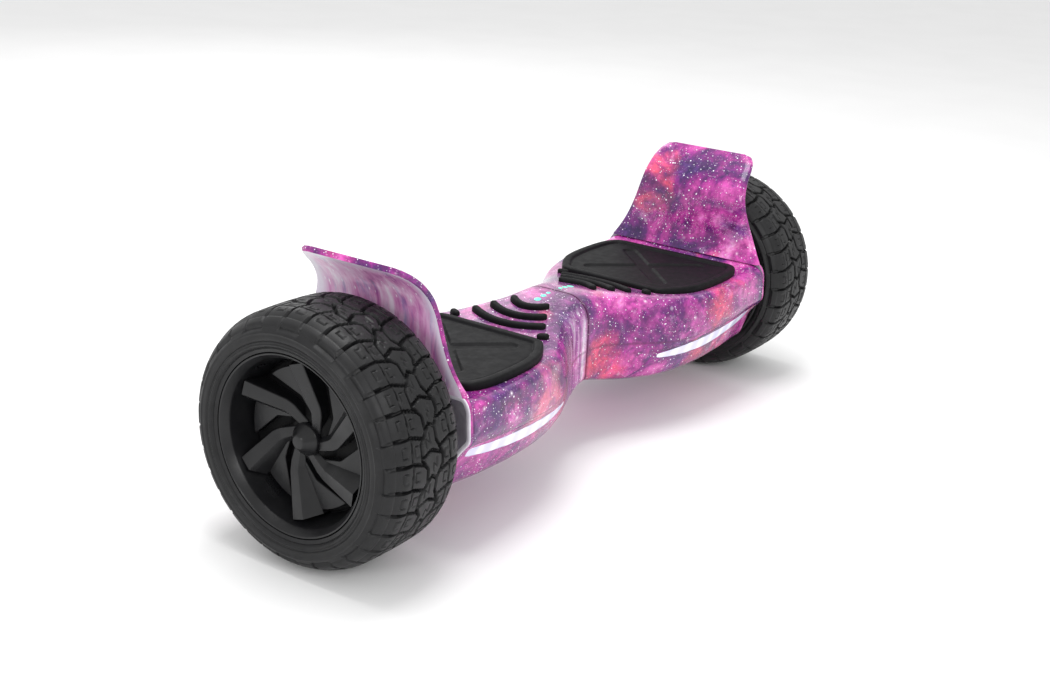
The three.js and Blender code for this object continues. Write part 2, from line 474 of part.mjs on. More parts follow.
const board = new THREE.Group();
const left = new THREE.Group();
const right = new THREE.Group();
board.add(left, right);
function add(group, name, geometry, material) {
  const m = new THREE.Mesh(tidy(geometry), material);
  m.name = name;
  group.add(m);
}
function pair(name, geometry, material) {
  add(left, `left_${name}`, mirrorX(geometry), material);
  add(right, `right_${name}`, geometry, material);
}
pair('upper_cover', upperCover, PAINT);
add(left, 'left_lower_cover', mirrorX(leftLower), PAINT_LOW);
add(right, 'right_lower_cover', rightLower, PAINT_LOW);
pair('fender', fender, PAINT);
pair('foot_pad', pad, RUBBER);
pair('grip_bars', grips, RUBBER);
pair('indicator_light', dots, MINT);
pair('headlight_lens', lens, LENS_M);
pair('led_bar', ledBar, NYLON);
add(left, 'left_frame', mirrorX(leftFrame), ALU);
add(right, 'right_frame', rightFrame, ALU);
pair('axle_clamp', clamp, ALU);
pair('clamp_bolt_front', bolt(-12.8), STEEL);
pair('clamp_bolt_rear', bolt(12.8), STEEL);
pair('motor_axle', axle, STEEL);
pair('motor_stator', stator, COPPER);
pair('wheel_bearing', bearing, STEEL);
pair('sensor_board', sensorBoard, BOARD);
pair('gyro_board', gyroBoard, BOARD);
pair('motor_cable', motorCable, BLACK);
add(left, 'left_wheel_rim', mirrorX(rim), BLACK);
add(right, 'right_wheel_rim', rim, BLACK);
add(left, 'left_tyre', mirrorX(tyre), TYRE);
add(right, 'right_tyre', tyre, TYRE);
// both trims are the same piece, so the right one is the left one turned half round
add(left, 'left_wheel_trim', mirrorX(trim), BLACK);
add(right, 'right_wheel_trim', halfTurn(mirrorX(trim)), BLACK);
pair('hub_nose', nose, BLACK);
add(left, 'main_board', mirrorX(mainBoard), BOARD);
add(left, 'power_button', mirrorX(button), BLACK);
add(left, 'button_ring', mirrorX(buttonRing), BLACK);
add(left, 'pivot_tube', tube, STEEL);
add(left, 'twist_stop_pin', stopPin, STEEL);
add(left, 'pivot_circlip', circlip, STEEL);
add(left, 'link_cable', linkCable, BLACK);
add(right, 'pivot_bush_inner', bush(16.5, 34), NYLON);
add(right, 'pivot_bush_outer', bush(46, 63.5), NYLON);
add(right, 'battery_pack', battery, WRAP);
add(right, 'charge_port', port, BLACK);
add(right, 'charge_port_cap', cap, RUBBER);

export default board;
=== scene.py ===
import math
import bpy
import bmesh
import numpy as np
from mathutils import Matrix, Vector


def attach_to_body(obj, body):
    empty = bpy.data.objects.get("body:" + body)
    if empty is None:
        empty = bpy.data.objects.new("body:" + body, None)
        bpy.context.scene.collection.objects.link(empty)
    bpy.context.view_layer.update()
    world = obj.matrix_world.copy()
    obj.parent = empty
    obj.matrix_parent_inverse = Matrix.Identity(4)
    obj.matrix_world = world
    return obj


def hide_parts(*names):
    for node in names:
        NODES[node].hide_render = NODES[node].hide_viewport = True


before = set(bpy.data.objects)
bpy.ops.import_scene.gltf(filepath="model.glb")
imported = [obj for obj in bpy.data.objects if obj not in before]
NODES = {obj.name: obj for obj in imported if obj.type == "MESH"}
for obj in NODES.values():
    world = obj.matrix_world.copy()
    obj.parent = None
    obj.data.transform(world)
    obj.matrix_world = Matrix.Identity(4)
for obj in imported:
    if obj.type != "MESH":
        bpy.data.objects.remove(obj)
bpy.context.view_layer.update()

MM = 0.001
AXLE = 102.5

# ------------------------------------------------------------------ tables, mm
SECTIONS = [
    (0.3, [(0, 144.4), (19, 144.4), (27.5, 141.3), (34.5, 135.2), (38.3, 126.3), (39.3, 110), (39.3, 95), (39.3, 84), (39.3, 76), (39.2, 70), (37.8, 66.5), (32, 63.5), (0, 62.5)]),
    (12, [(0, 143.7), (20, 143.7), (28.5, 140.6), (35.5, 134.3), (39, 125), (40.2, 110), (40.4, 95), (40.6, 84), (40.7, 76), (40.6, 70), (39.2, 65.5), (33, 61.5), (0, 60.5)]),
    (30, [(0, 141.3), (23.5, 141.3), (32, 138.3), (38.5, 131.8), (42, 122), (43.6, 108), (44.3, 94), (44.7, 83), (44.9, 74), (44.8, 67), (43.3, 61.8), (36, 57.5), (0, 56.5)]),
    (50, [(0, 138), (33, 138), (41, 135), (47, 128.5), (50.6, 118), (52.6, 105), (53, 92), (53, 82), (52.8, 72), (52, 63.5), (49.3, 57), (40, 53), (0, 52)]),
    (75, [(0, 133.2), (48.5, 133.2), (56, 130.4), (61.8, 124.5), (65.3, 114), (67.2, 102), (67.4, 90), (66.5, 81), (64.8, 71), (62.3, 62), (57.5, 54.5), (47, 49.5), (0, 48)]),
    (100, [(0, 129.8), (65.5, 129.8), (70.8, 127.8), (74.5, 123), (77, 112), (78.2, 100), (77.8, 88), (75.5, 80.5), (71.8, 70.5), (69.3, 61.5), (64, 52.5), (53, 47), (0, 45)]),
    (130, [(0, 128.2), (77, 128.2), (81.3, 126.8), (84, 123), (86, 112), (86.5, 100), (84.5, 88.5), (81.3, 82), (77, 70.5), (74, 61), (68.5, 52), (57, 45.5), (0, 43)]),
    (165, [(0, 128), (84, 128), (87.3, 126.9), (89.2, 123.8), (90.3, 113), (90.3, 101), (87.3, 90.5), (83.5, 84), (79.3, 71.5), (76, 61.5), (70.3, 52), (58, 44.5), (0, 41.5)]),
    (200, [(0, 128), (86, 128), (89, 127), (91, 124.2), (92, 113), (92.2, 100.5), (88.7, 92), (84.3, 85.7), (79, 73.5), (75.5, 63), (70.3, 53), (58, 45), (0, 41.5)]),
    (227, [(0, 128.1), (86, 128.1), (89.2, 127.2), (91, 125), (92.4, 113), (92.8, 99.8), (88.4, 92.9), (83.2, 86.8), (78.6, 77.8), (75, 66.8), (70.3, 55.6), (58, 46.5), (0, 43)]),
    (235, [(0, 129.9), (81, 129.9), (86.8, 128.6), (90.9, 125.4), (92.5, 113), (92.9, 99.5), (88.2, 93), (82.7, 87), (78.1, 79), (75, 68), (70.4, 56.4), (58, 47), (0, 43.7)]),
    (243.9, [(0, 133.6), (78, 133.6), (85.3, 131.2), (91.2, 125.8), (92.6, 113), (93, 99.2), (87.8, 93), (81.9, 86.8), (77.8, 80), (75, 70), (70.5, 57.2), (58, 47.8), (0, 44.5)]),
]
SEAM = [(-5, 65), (30, 60), (52, 56.5), (64, 64), (74, 77), (80, 79.2), (90, 80.4), (100, 81.4), (130, 84.5), (165, 87), (200, 89), (250, 92.8)]
LENS = [(80, 77.6, 74), (95, 79.2, 72.2), (120, 81, 70.6), (150, 81.6, 70.4), (180, 82.8, 72), (210, 85.2, 75.6), (236, 88.2, 80.4)]
PAD_HALF = [(96, 0), (96, 47), (98.6, 55.5), (108, 62.5), (120, 69.6), (133, 74.9), (150, 77.8), (170, 78.8), (192, 78.5), (206, 77), (216.5, 73.8), (223, 69), (226, 61.5), (226, 0)]
BARS = [(36.4, 19.5, 46), (54.5, 29.5, 64), (69.4, 38.5, 81)]
DOTS = [(9.9, 2.1), (17.7, 2.7), (26.7, 3.3)]
END = [(91.3, 126), (93, 99), (87.7, 93), (77.8, 80), (75, 70), (70.5, 57), (58, 47.6), (0, 44.3)]
SIDE = [(86.8, 134), (81.8, 142), (77.5, 150), (73.6, 158), (70.1, 166), (67, 174), (64.2, 182), (61.9, 190), (60.1, 198), (58.9, 206), (57.5, 214), (56.4, 221), (53.6, 227.5), (48.5, 231.6), (42, 234.4)]
F_IN = [(240.9, 134), (242, 136.6), (244.2, 142), (246.2, 150), (247, 160), (246.8, 174), (246.6, 184), (247.4, 194), (249.8, 203), (253.8, 210.5), (260, 218), (268.5, 225.6), (281, 234.4)]
F_OUT = [(248.6, 134), (249, 141), (250.5, 149.5), (251.4, 160), (251.3, 174), (251.1, 184), (251.8, 193), (254.1, 200.8), (257.8, 207.6), (263.7, 214.8), (272, 222.2), (283.5, 230.4)]
PORT = (112, 79.5, 68.5)
BUTTON = (112, 74.6, 71)


# ------------------------------------------------------------------ small maths
def pchip(xs, ys, q):
    """Monotone cubic through (xs, ys) along axis 0, at q."""
    xs = np.asarray(xs, float)
    ys = np.asarray(ys, float)
    q = np.atleast_1d(np.asarray(q, float))
    h = np.diff(xs)
    shape = (-1,) + (1,) * (ys.ndim - 1)
    d = np.diff(ys, axis=0) / h.reshape(shape)
    m = np.zeros_like(ys)
    m[0], m[-1] = d[0], d[-1]
    w1 = (2 * h[1:] + h[:-1]).reshape(shape)
    w2 = (h[1:] + 2 * h[:-1]).reshape(shape)
    a, b = d[:-1], d[1:]
    ok = (a * b) > 0
    with np.errstate(divide="ignore", invalid="ignore"):
        mm = (w1 + w2) / (w1 / a + w2 / b)
    m[1:-1] = np.where(ok, mm, 0)
    i = np.clip(np.searchsorted(xs, q, side="right") - 1, 0, len(xs) - 2)
    t = ((q - xs[i]) / h[i]).reshape(shape)
    hh = h[i].reshape(shape)
    t2, t3 = t * t, t * t * t
    return (2 * t3 - 3 * t2 + 1) * ys[i] + (t3 - 2 * t2 + t) * hh * m[i] + (-2 * t3 + 3 * t2) * ys[i + 1] + (t3 - t2) * hh * m[i + 1]


def rounded(points, fracs, k=5, runs=2, first=2, last=2):
    """Points along an open polyline with its corners rounded. The count doesn't depend on the shape."""
    p = [np.asarray(v, float) for v in points]
    n = len(p)
    out = [p[0]]
    prev_end = p[0]
    for i in range(1, n - 1):
        f = fracs[i - 1] if isinstance(fracs, (list, tuple)) else fracs
        a, b = p[i - 1] - p[i], p[i + 1] - p[i]
        la, lb = np.linalg.norm(a), np.linalg.norm(b)
        d = f * min(la, lb)
        s, e = p[i] + a / max(la, 1e-9) * d, p[i] + b / max(lb, 1e-9) * d
        m = first if i == 1 else runs
        for j in range(1, m + 1):
            out.append(prev_end + (s - prev_end) * j / (m + 1))
        for j in range(k):
            t = j / (k - 1)
            out.append((1 - t) ** 2 * s + 2 * t * (1 - t) * p[i] + t * t * e)
        prev_end = e
    for j in range(1, last + 1):
        out.append(prev_end + (p[-1] - prev_end) * j / (last + 1))
    out.append(p[-1])
    return np.array(out)


def corner_round(points, r, k=4, closed=False):
    """Polyline with each corner rounded by up to r mm."""
    p = [np.asarray(v, float) for v in points]
    n = len(p)
    out = []
    for i in range(n):
        if not closed and i in (0, n - 1):
            out.append(p[i])
            continue
        a, b = p[i - 1] - p[i], p[(i + 1) % n] - p[i]
        la, lb = np.linalg.norm(a), np.linalg.norm(b)
        d = min(r, 0.45 * la, 0.45 * lb)
        s, e = p[i] + a / la * d, p[i] + b / lb * d
        for j in range(k):
            t = j / (k - 1)
            out.append((1 - t) ** 2 * s + 2 * t * (1 - t) * p[i] + t * t * e)
    return np.array(out)


def resample(points, n, closed=True):
    p = np.asarray(points, float)
    if closed:
        p = np.vstack([p, p[:1]])
    s = np.concatenate([[0], np.cumsum(np.linalg.norm(np.diff(p, axis=0), axis=1))])
    q = np.linspace(0, s[-1], n, endpoint=not closed)
    return np.stack([np.interp(q, s, p[:, i]) for i in range(p.shape[1])], 1)


def inset(loop, d):
    """A closed 2-D loop moved inwards by d."""
    t = np.roll(loop, -1, 0) - np.roll(loop, 1, 0)
    t /= np.maximum(np.linalg.norm(t, axis=1, keepdims=True), 1e-9)
    nrm = np.stack([-t[:, 1], t[:, 0]], 1)
    area = 0.5 * np.sum(loop[:, 0] * np.roll(loop[:, 1], -1) - np.roll(loop[:, 0], -1) * loop[:, 1])
    return loop + nrm * d * (1 if area > 0 else -1)


def grid(nu, nv, wrap_u=False, wrap_v=False):
    faces = []
    for i in range(nu if wrap_u else nu - 1):
        i2 = (i + 1) % nu
        for j in range(nv if wrap_v else nv - 1):
            j2 = (j + 1) % nv
            faces.append((i * nv + j, i2 * nv + j, i2 * nv + j2, i * nv + j2))
    return faces


def clip(V, F, f, M=None):
    """The part of the mesh where f is 0 or more. Faces across the line are cut there."""
    V = [tuple(v) for v in V]
    new = {}
    outF, outM = [], []

    def cut(a, b):
        key = (a, b) if a < b else (b, a)
        if key not in new:
            t = f[a] / (f[a] - f[b])
            va, vb = V[a], V[b]
            V.append(tuple(va[i] + (vb[i] - va[i]) * t for i in range(3)))
            new[key] = len(V) - 1
        return new[key]

    for n, face in enumerate(F):
        keep = [f[i] >= 0 for i in face]
        if all(keep):
            outF.append(tuple(face))
        elif not any(keep):
            continue
        else:
            poly = []
            m = len(face)
            for k in range(m):
                a, b = face[k], face[(k + 1) % m]
                if f[a] >= 0:
                    poly.append(a)
                if (f[a] >= 0) != (f[b] >= 0):
                    c = cut(a, b)
                    if not poly or poly[-1] != c:
                        poly.append(c)
            if len(set(poly)) < 3:
                continue
            outF.append(tuple(poly))
        outM.append(M[n] if M is not None else 0)
    used = sorted({i for fc in outF for i in fc})
    where = {a: b for b, a in enumerate(used)}
    return np.array([V[i] for i in used]), [tuple(where[i] for i in fc) for fc in outF], outM


# ------------------------------------------------------------------ objects
def make(name, V, F, mats, index=None, sharp=38, fix=True, solid=None, attrs=None, merge=None):
    """A mesh object from millimetres."""
    me = bpy.data.meshes.new(name)
    me.from_pydata([tuple(float(c) * MM for c in v) for v in V], [], [tuple(int(i) for i in f) for f in F])
    for m in mats:
        me.materials.append(m)
    if index is not None:
        me.polygons.foreach_set("material_index", np.asarray(index, np.int32))
    for key, values in (attrs or {}).items():
        a = me.attributes.new(key, "FLOAT", "POINT")
        a.data.foreach_set("value", np.asarray(values, np.float32))
    if fix or merge:
        bm = bmesh.new()
        bm.from_mesh(me)
        if merge:
            bmesh.ops.remove_doubles(bm, verts=bm.verts, dist=merge * MM)
        if fix:
            bmesh.ops.recalc_face_normals(bm, faces=bm.faces)
        bm.to_mesh(me)
        bm.free()
    me.validate()
    me.shade_smooth()
    if sharp:
        me.set_sharp_from_angle(angle=math.radians(sharp))
    o = bpy.data.objects.new(name, me)
    bpy.context.scene.collection.objects.link(o)
    if solid:
        s = o.modifiers.new("wall", "SOLIDIFY")
        s.thickness = solid * MM
        s.offset = -1
        s.use_even_offset = True
        s.use_quality_normals = True
    return o


def attach(o, body, slot, *nodes):
    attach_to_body(o, body)
    if nodes:
        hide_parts(*nodes)
    return o


def flip_faces(F):
    return [tuple(reversed(f)) for f in F]


def mirror(V):
    W = np.array(V, float)
    W[:, 0] *= -1
    return W


# ------------------------------------------------------------------ materials
class Build:
    def __init__(self, name):
        self.m = bpy.data.materials.new(name)
        self.m.use_nodes = True
        self.t = self.m.node_tree
        self.p = self.t.nodes["Principled BSDF"]
        self.c = self.t.nodes.new("ShaderNodeTexCoord").outputs["Object"]

    def link(self, a, b):
        self.t.links.new(a, b)

    def set(self, **kw):
        for k, v in kw.items():
            s = self.p.inputs[k.replace("_", " ")]
            s.default_value = (*v, 1) if isinstance(v, (tuple, list)) and len(v) == 3 else v
        return self

    def map(self, scale=(1, 1, 1), loc=(0, 0, 0), rot=(0, 0, 0)):
        n = self.t.nodes.new("ShaderNodeMapping")
        n.inputs["Scale"].default_value = scale
        n.inputs["Location"].default_value = loc
        n.inputs["Rotation"].default_value = rot
        self.link(self.c, n.inputs["Vector"])
        return n.outputs[0]

    def noise(self, scale, detail=4, rough=0.5, dist=0.0, vec=None, colour=False):
        n = self.t.nodes.new("ShaderNodeTexNoise")
        n.inputs["Scale"].default_value = scale
        n.inputs["Detail"].default_value = detail
        n.inputs["Roughness"].default_value = rough
        n.inputs["Distortion"].default_value = dist
        self.link(vec if vec is not None else self.c, n.inputs["Vector"])
        return n.outputs["Color" if colour else "Fac"]

    def voronoi(self, scale, vec=None, feature="F1", rand=1.0):
        n = self.t.nodes.new("ShaderNodeTexVoronoi")
        n.feature = feature
        n.inputs["Scale"].default_value = scale
        n.inputs["Randomness"].default_value = rand
        self.link(vec if vec is not None else self.c, n.inputs["Vector"])
        return n

    def ramp(self, fac, stops, mode="LINEAR"):
        n = self.t.nodes.new("ShaderNodeValToRGB")
        n.color_ramp.interpolation = mode
        e = n.color_ramp.elements
        while len(e) > 1:
            e.remove(e[-1])
        for i, (pos, col) in enumerate(stops):
            if i == 0:
                el = e[0]
                el.position = pos
            else:
                el = e.new(pos)
            el.color = (*col, 1) if isinstance(col, (tuple, list)) else (col, col, col, 1)
        self.link(fac, n.inputs[0])
        return n.outputs[0]

    def math(self, op, a, b=None, clamp=False):
        n = self.t.nodes.new("ShaderNodeMath")
        n.operation = op
        n.use_clamp = clamp
        for i, v in enumerate((a, b)):
            if v is None:
                continue
            if isinstance(v, (int, float)):
                n.inputs[i].default_value = v
            else:
                self.link(v, n.inputs[i])
        return n.outputs[0]

    def mix(self, fac, a, b, mode="MIX"):
        n = self.t.nodes.new("ShaderNodeMix")
        n.data_type = "RGBA"
        n.blend_type = mode
        for key, v in (("Factor", fac), ("A", a), ("B", b)):
            s = [i for i in n.inputs if i.name == key and (i.type == "RGBA" or (key == "Factor" and i.type == "VALUE"))][0]
            if isinstance(v, (int, float)):
                s.default_value = v
            elif isinstance(v, (tuple, list)):
                s.default_value = (*v, 1)
            else:
                self.link(v, s)
        return [x for x in n.outputs if x.type == "RGBA"][0]

    def attr(self, name):
        n = self.t.nodes.new("ShaderNodeAttribute")
        n.attribute_name = name
        return n.outputs["Fac"]

    def xyz(self):
        n = self.t.nodes.new("ShaderNodeSeparateXYZ")
        self.link(self.c, n.inputs[0])
        return n.outputs

    def normal(self):
        n = self.t.nodes.new("ShaderNodeTexCoord")
        s = self.t.nodes.new("ShaderNodeSeparateXYZ")
        self.link(n.outputs["Normal"], s.inputs[0])
        return s.outputs

    def colour(self, out):
        self.link(out, self.p.inputs["Base Color"])
        return self

    def rough(self, out):
        self.link(out, self.p.inputs["Roughness"])
        return self

    def bump(self, height, strength=0.3, distance=0.0005):
        n = self.t.nodes.new("ShaderNodeBump")
        n.inputs["Strength"].default_value = strength
        n.inputs["Distance"].default_value = distance
        self.link(height, n.inputs["Height"])
        self.link(n.outputs[0], self.p.inputs["Normal"])
        return self


CORAL = (0.84, 0.080, 0.165)
DUSK = (0.044, 0.009, 0.100)
SPOTS = [
    ((0.016, -0.042, 0.082), 0.034, CORAL, 0.85), ((0.172, -0.09, 0.108), 0.030, CORAL, 0.75), ((-0.128, -0.086, 0.098), 0.034, (0.88, 0.20, 0.30), 0.75),
    ((0.095, -0.078, 0.100), 0.038, DUSK, 0.9), ((0.055, -0.060, 0.118), 0.026, DUSK, 0.85), ((-0.170, -0.090, 0.118), 0.026, DUSK, 0.65),
    ((-0.215, -0.092, 0.112), 0.022, DUSK, 0.6), ((0.135, -0.088, 0.122), 0.022, DUSK, 0.7), ((0.205, -0.090, 0.095), 0.022, DUSK, 0.6),
    ((-0.085, -0.070, 0.075), 0.026, CORAL, 0.6), ((0.10, 0.078, 0.10), 0.036, DUSK, 0.8), ((-0.06, 0.06, 0.10), 0.034, CORAL, 0.7), ((-0.16, 0.09, 0.10), 0.034, DUSK, 0.8),
]


def galaxy(name, shift=(0, 0, 0), spots=(), red_from=0.56, dark=0.065):
    """Glossy transfer-printed nebula with stars."""
    b = Build(name)
    v = b.map(loc=shift)
    big = b.noise(8.5, 5, 0.56, 0.9, vec=v)
    mid = b.noise(23, 8, 0.64, 0.7, vec=b.map(loc=(shift[0] + 3.1, shift[1], shift[2] + 7.7)))
    fine = b.noise(85, 6, 0.66, 0.4, vec=b.map(loc=(shift[0] + 9.0, 1.3, shift[2])))
    base = b.math("ADD", b.math("MULTIPLY", big, 0.50), b.math("MULTIPLY", mid, 0.52))
    base = b.math("ADD", base, b.math("MULTIPLY", fine, 0.14))
    base = b.math("SUBTRACT", base, dark)
    col = b.ramp(base, [
        (0.40, (0.030, 0.010, 0.070)), (0.455, (0.085, 0.014, 0.120)), (0.495, (0.185, 0.016, 0.170)), (0.535, (0.35, 0.032, 0.240)),
        (0.575, (0.52, 0.068, 0.335)), (0.62, (0.68, 0.155, 0.46)), (0.67, (0.82, 0.32, 0.61)), (0.74, (0.92, 0.60, 0.80))])
    # coral clouds
    red = b.noise(10.5, 3, 0.5, 0.6, vec=b.map(loc=(shift[0] + 20.4, 5.0, shift[2])))
    redm = b.math("MULTIPLY", b.ramp(red, [(red_from, 0.0), (red_from + 0.10, 1.0)]), b.ramp(mid, [(0.40, 0.25), (0.56, 1.0)]))
    col = b.mix(redm, col, (0.82, 0.105, 0.135))
    # deep blue-violet hollows
    blue = b.noise(15, 5, 0.6, 0.5, vec=b.map(loc=(shift[0] + 41.0, 2.0, shift[2] + 3)))
    bluem = b.ramp(blue, [(0.56, 0.0), (0.66, 0.82)])
    col = b.mix(bluem, col, b.ramp(fine, [(0.35, (0.016, 0.010, 0.065)), (0.62, (0.10, 0.035, 0.20))]))
    # clouds with a place of their own
    wob = b.noise(26, 5, 0.6, 0.4, vec=b.map(loc=(4.4, 9.1, 2.0)), colour=True)
    mottle = b.ramp(b.noise(64, 7, 0.7, 0.8, vec=b.map(loc=(6.1, 2.2, 8.8))), [(0.36, 0.30), (0.55, 1.0)])
    for spot, r, tint, amount in spots:
        a = b.t.nodes.new("ShaderNodeVectorMath")
        a.operation = "MULTIPLY_ADD"
        b.link(wob, a.inputs[0])
        a.inputs[1].default_value = (0.095, 0.095, 0.095)
        a.inputs[2].default_value = tuple(-q - 0.0475 for q in spot)
        d = b.t.nodes.new("ShaderNodeVectorMath")
        d.operation = "ADD"
        b.link(a.outputs[0], d.inputs[0])
        b.link(b.c, d.inputs[1])
        l = b.t.nodes.new("ShaderNodeVectorMath")
        l.operation = "LENGTH"
        b.link(d.outputs[0], l.inputs[0])
        patch = b.math("MULTIPLY", b.ramp(l.outputs["Value"], [(r * 0.35, amount), (r * 1.12, 0.0)]), mottle)
        col = b.mix(patch, col, tint)
    # milky mist
    mist = b.noise(30, 7, 0.7, 1.2, vec=b.map(loc=(shift[0] + 61.0, 8.0, shift[2])))
    col = b.mix(b.ramp(mist, [(0.58, 0.0), (0.76, 0.50)]), col, (0.80, 0.50, 0.76))
    # streaks that run down where the film stretched round the waist
    x, y, z = b.xyz()
    ax = b.math("ABSOLUTE", x)
    waist = b.ramp(b.math("MULTIPLY", x, -1.0), [(0.0, 0.0), (0.002, 0.62), (0.030, 0.55), (0.062, 0.0)])
    st = b.noise(1, 5, 0.6, 0.0, vec=b.map(scale=(210, 210, 14), loc=shift))
    stc = b.ramp(st, [(0.36, (0.20, 0.045, 0.22)), (0.48, (0.52, 0.13, 0.44)), (0.57, (0.74, 0.40, 0.66)), (0.68, (0.90, 0.78, 0.92))])
    nx, ny, nz = b.normal()
    side = b.ramp(b.math("ABSOLUTE", nz), [(0.0, 1.0), (0.45, 0.8), (0.85, 0.0)])
    col = b.mix(b.math("MULTIPLY", waist, side), col, stc)
    # paler veil over what faces up near the waist: partly washed-out film, partly a painted sheen of the overhead light
    up = b.ramp(nz, [(0.80, 0.0), (0.97, 1.0)])
    near = b.ramp(ax, [(0.0, 0.55), (0.10, 0.42), (0.17, 0.12), (0.24, 0.0)])
    wash_and_sheen = b.math("MULTIPLY", up, near)
    wash_and_sheen = b.math("MULTIPLY", wash_and_sheen, b.ramp(big, [(0.40, 0.55), (0.60, 1.0)]))
    col = b.mix(wash_and_sheen, col, b.ramp(mid, [(0.38, (0.28, 0.09, 0.23)), (0.60, (0.56, 0.30, 0.47))]))
    grainy = b.noise(175, 7, 0.72, 0.6, vec=b.map(loc=(shift[0] + 12.0, 3.3, 1.9)))
    col = b.mix(0.62, col, b.ramp(grainy, [(0.33, (0.20, 0.17, 0.24)), (0.50, (0.50, 0.50, 0.50)), (0.68, (0.86, 0.76, 0.86))]), "OVERLAY")
    # stars, three sizes
    for scale, lo, hi, rare, shade in ((640, 0.15, 0.25, 0.70, 0.50), (330, 0.13, 0.21, 0.66, 0.9), (175, 0.09, 0.15, 0.70, 1.0), (88, 0.055, 0.085, 0.72, 1.0)):
        vo = b.voronoi(scale, vec=b.map(loc=(shift[0] + scale * 0.013, 0.7, 0.2)))
        dot = b.ramp(vo.outputs["Distance"], [(lo, 1.0), (hi, 0.0)])
        sep = b.t.nodes.new("ShaderNodeSeparateColor")
        b.link(vo.outputs["Color"], sep.inputs[0])
        pick = b.math("GREATER_THAN", sep.outputs[0], rare)
        m = b.math("MULTIPLY", b.math("MULTIPLY", dot, pick), shade)
        col = b.mix(m, col, (0.97, 0.93, 1.0))
    glow = b.voronoi(46, vec=b.map(loc=(shift[0] + 1.7, 0.1, 0.9)))
    g = b.math("MULTIPLY", b.ramp(glow.outputs["Distance"], [(0.02, 0.9), (0.055, 0.28), (0.13, 0.0)]), b.ramp(mid, [(0.42, 0.0), (0.56, 1.0)]))
    col = b.mix(g, col, (1.0, 0.90, 0.99))
    # dark line where the crease weights are set: painted shade along the moulded creases, and the dark joint along the
    # edge by the middle gap
    e = b.attr("crease")
    col = b.mix(b.math("MULTIPLY", e, 0.75), col, (0.10, 0.006, 0.065))
    b.colour(col)
    b.rough(b.ramp(b.noise(60, 3), [(0.3, 0.17), (0.7, 0.27)]))
    b.set(Coat_Weight=0.32, Coat_Roughness=0.06, Specular_IOR_Level=0.35)
    b.bump(b.noise(420, 2, 0.5), 0.05, 0.0004)
    return b.m


def washed_print(name):
    """Wheel side of a guard: the film thins out into pale streaks."""
    b = Build(name)
    st = b.noise(1, 6, 0.62, 0.3, vec=b.map(scale=(60, 105, 17)))
    big = b.noise(14, 4, 0.55, 0.5)
    col = b.ramp(b.math("ADD", b.math("MULTIPLY", st, 0.62), b.math("MULTIPLY", big, 0.38)), [
        (0.34, (0.14, 0.035, 0.20)), (0.42, (0.40, 0.10, 0.34)), (0.49, (0.62, 0.23, 0.50)), (0.56, (0.74, 0.42, 0.66)), (0.66, (0.86, 0.72, 0.86))])
    blue = b.noise(1, 4, 0.6, 0.3, vec=b.map(scale=(40, 80, 16), loc=(7, 3, 1)))
    col = b.mix(b.ramp(blue, [(0.54, 0.0), (0.66, 0.6)]), col, (0.20, 0.16, 0.42))
    sp = b.voronoi(1, vec=b.map(scale=(150, 330, 95)))
    dot = b.ramp(sp.outputs["Distance"], [(0.10, 1.0), (0.24, 0.0)])
    sep = b.t.nodes.new("ShaderNodeSeparateColor")
    b.link(sp.outputs["Color"], sep.inputs[0])
    col = b.mix(b.math("MULTIPLY", b.math("MULTIPLY", dot, b.math("GREATER_THAN", sep.outputs[0], 0.55)), 0.85), col, (0.96, 0.92, 0.98))
    e = b.attr("edge")
    wob = b.math("ADD", e, b.math("MULTIPLY", b.math("SUBTRACT", big, 0.5), 0.55))
    col = b.mix(b.ramp(wob, [(0.55, 0.0), (0.90, 0.86)]), col, (0.66, 0.62, 0.72))
    b.colour(col)
    b.rough(b.ramp(big, [(0.3, 0.22), (0.7, 0.34)]))
    b.set(Coat_Weight=0.3, Coat_Roughness=0.12)
    b.bump(b.noise(420, 2, 0.5), 0.05, 0.0004)
    return b.m


def plain(name, dark, light, scale=160, rough=(0.45, 0.6), metal=0.0, bump=0.25, dist=0.0003, grain=900, coat=0.0, spec=0.5, stretch=None):
    """A moulded, cast or turned surface: tone and roughness wander, and a fine grain."""
    b = Build(name)
    vec = b.map(scale=stretch) if stretch else None
    n = b.noise(scale, 5, 0.6, 0.2, vec=vec)
    b.colour(b.ramp(n, [(0.32, dark), (0.68, light)]))
    b.rough(b.ramp(b.noise(scale * 0.6, 3, 0.5, vec=vec), [(0.3, rough[0]), (0.7, rough[1])]))
    b.set(Metallic=metal, Coat_Weight=coat, Specular_IOR_Level=spec)
    b.bump(b.noise(grain, 3, 0.6, vec=vec), bump, dist)
    return b.m


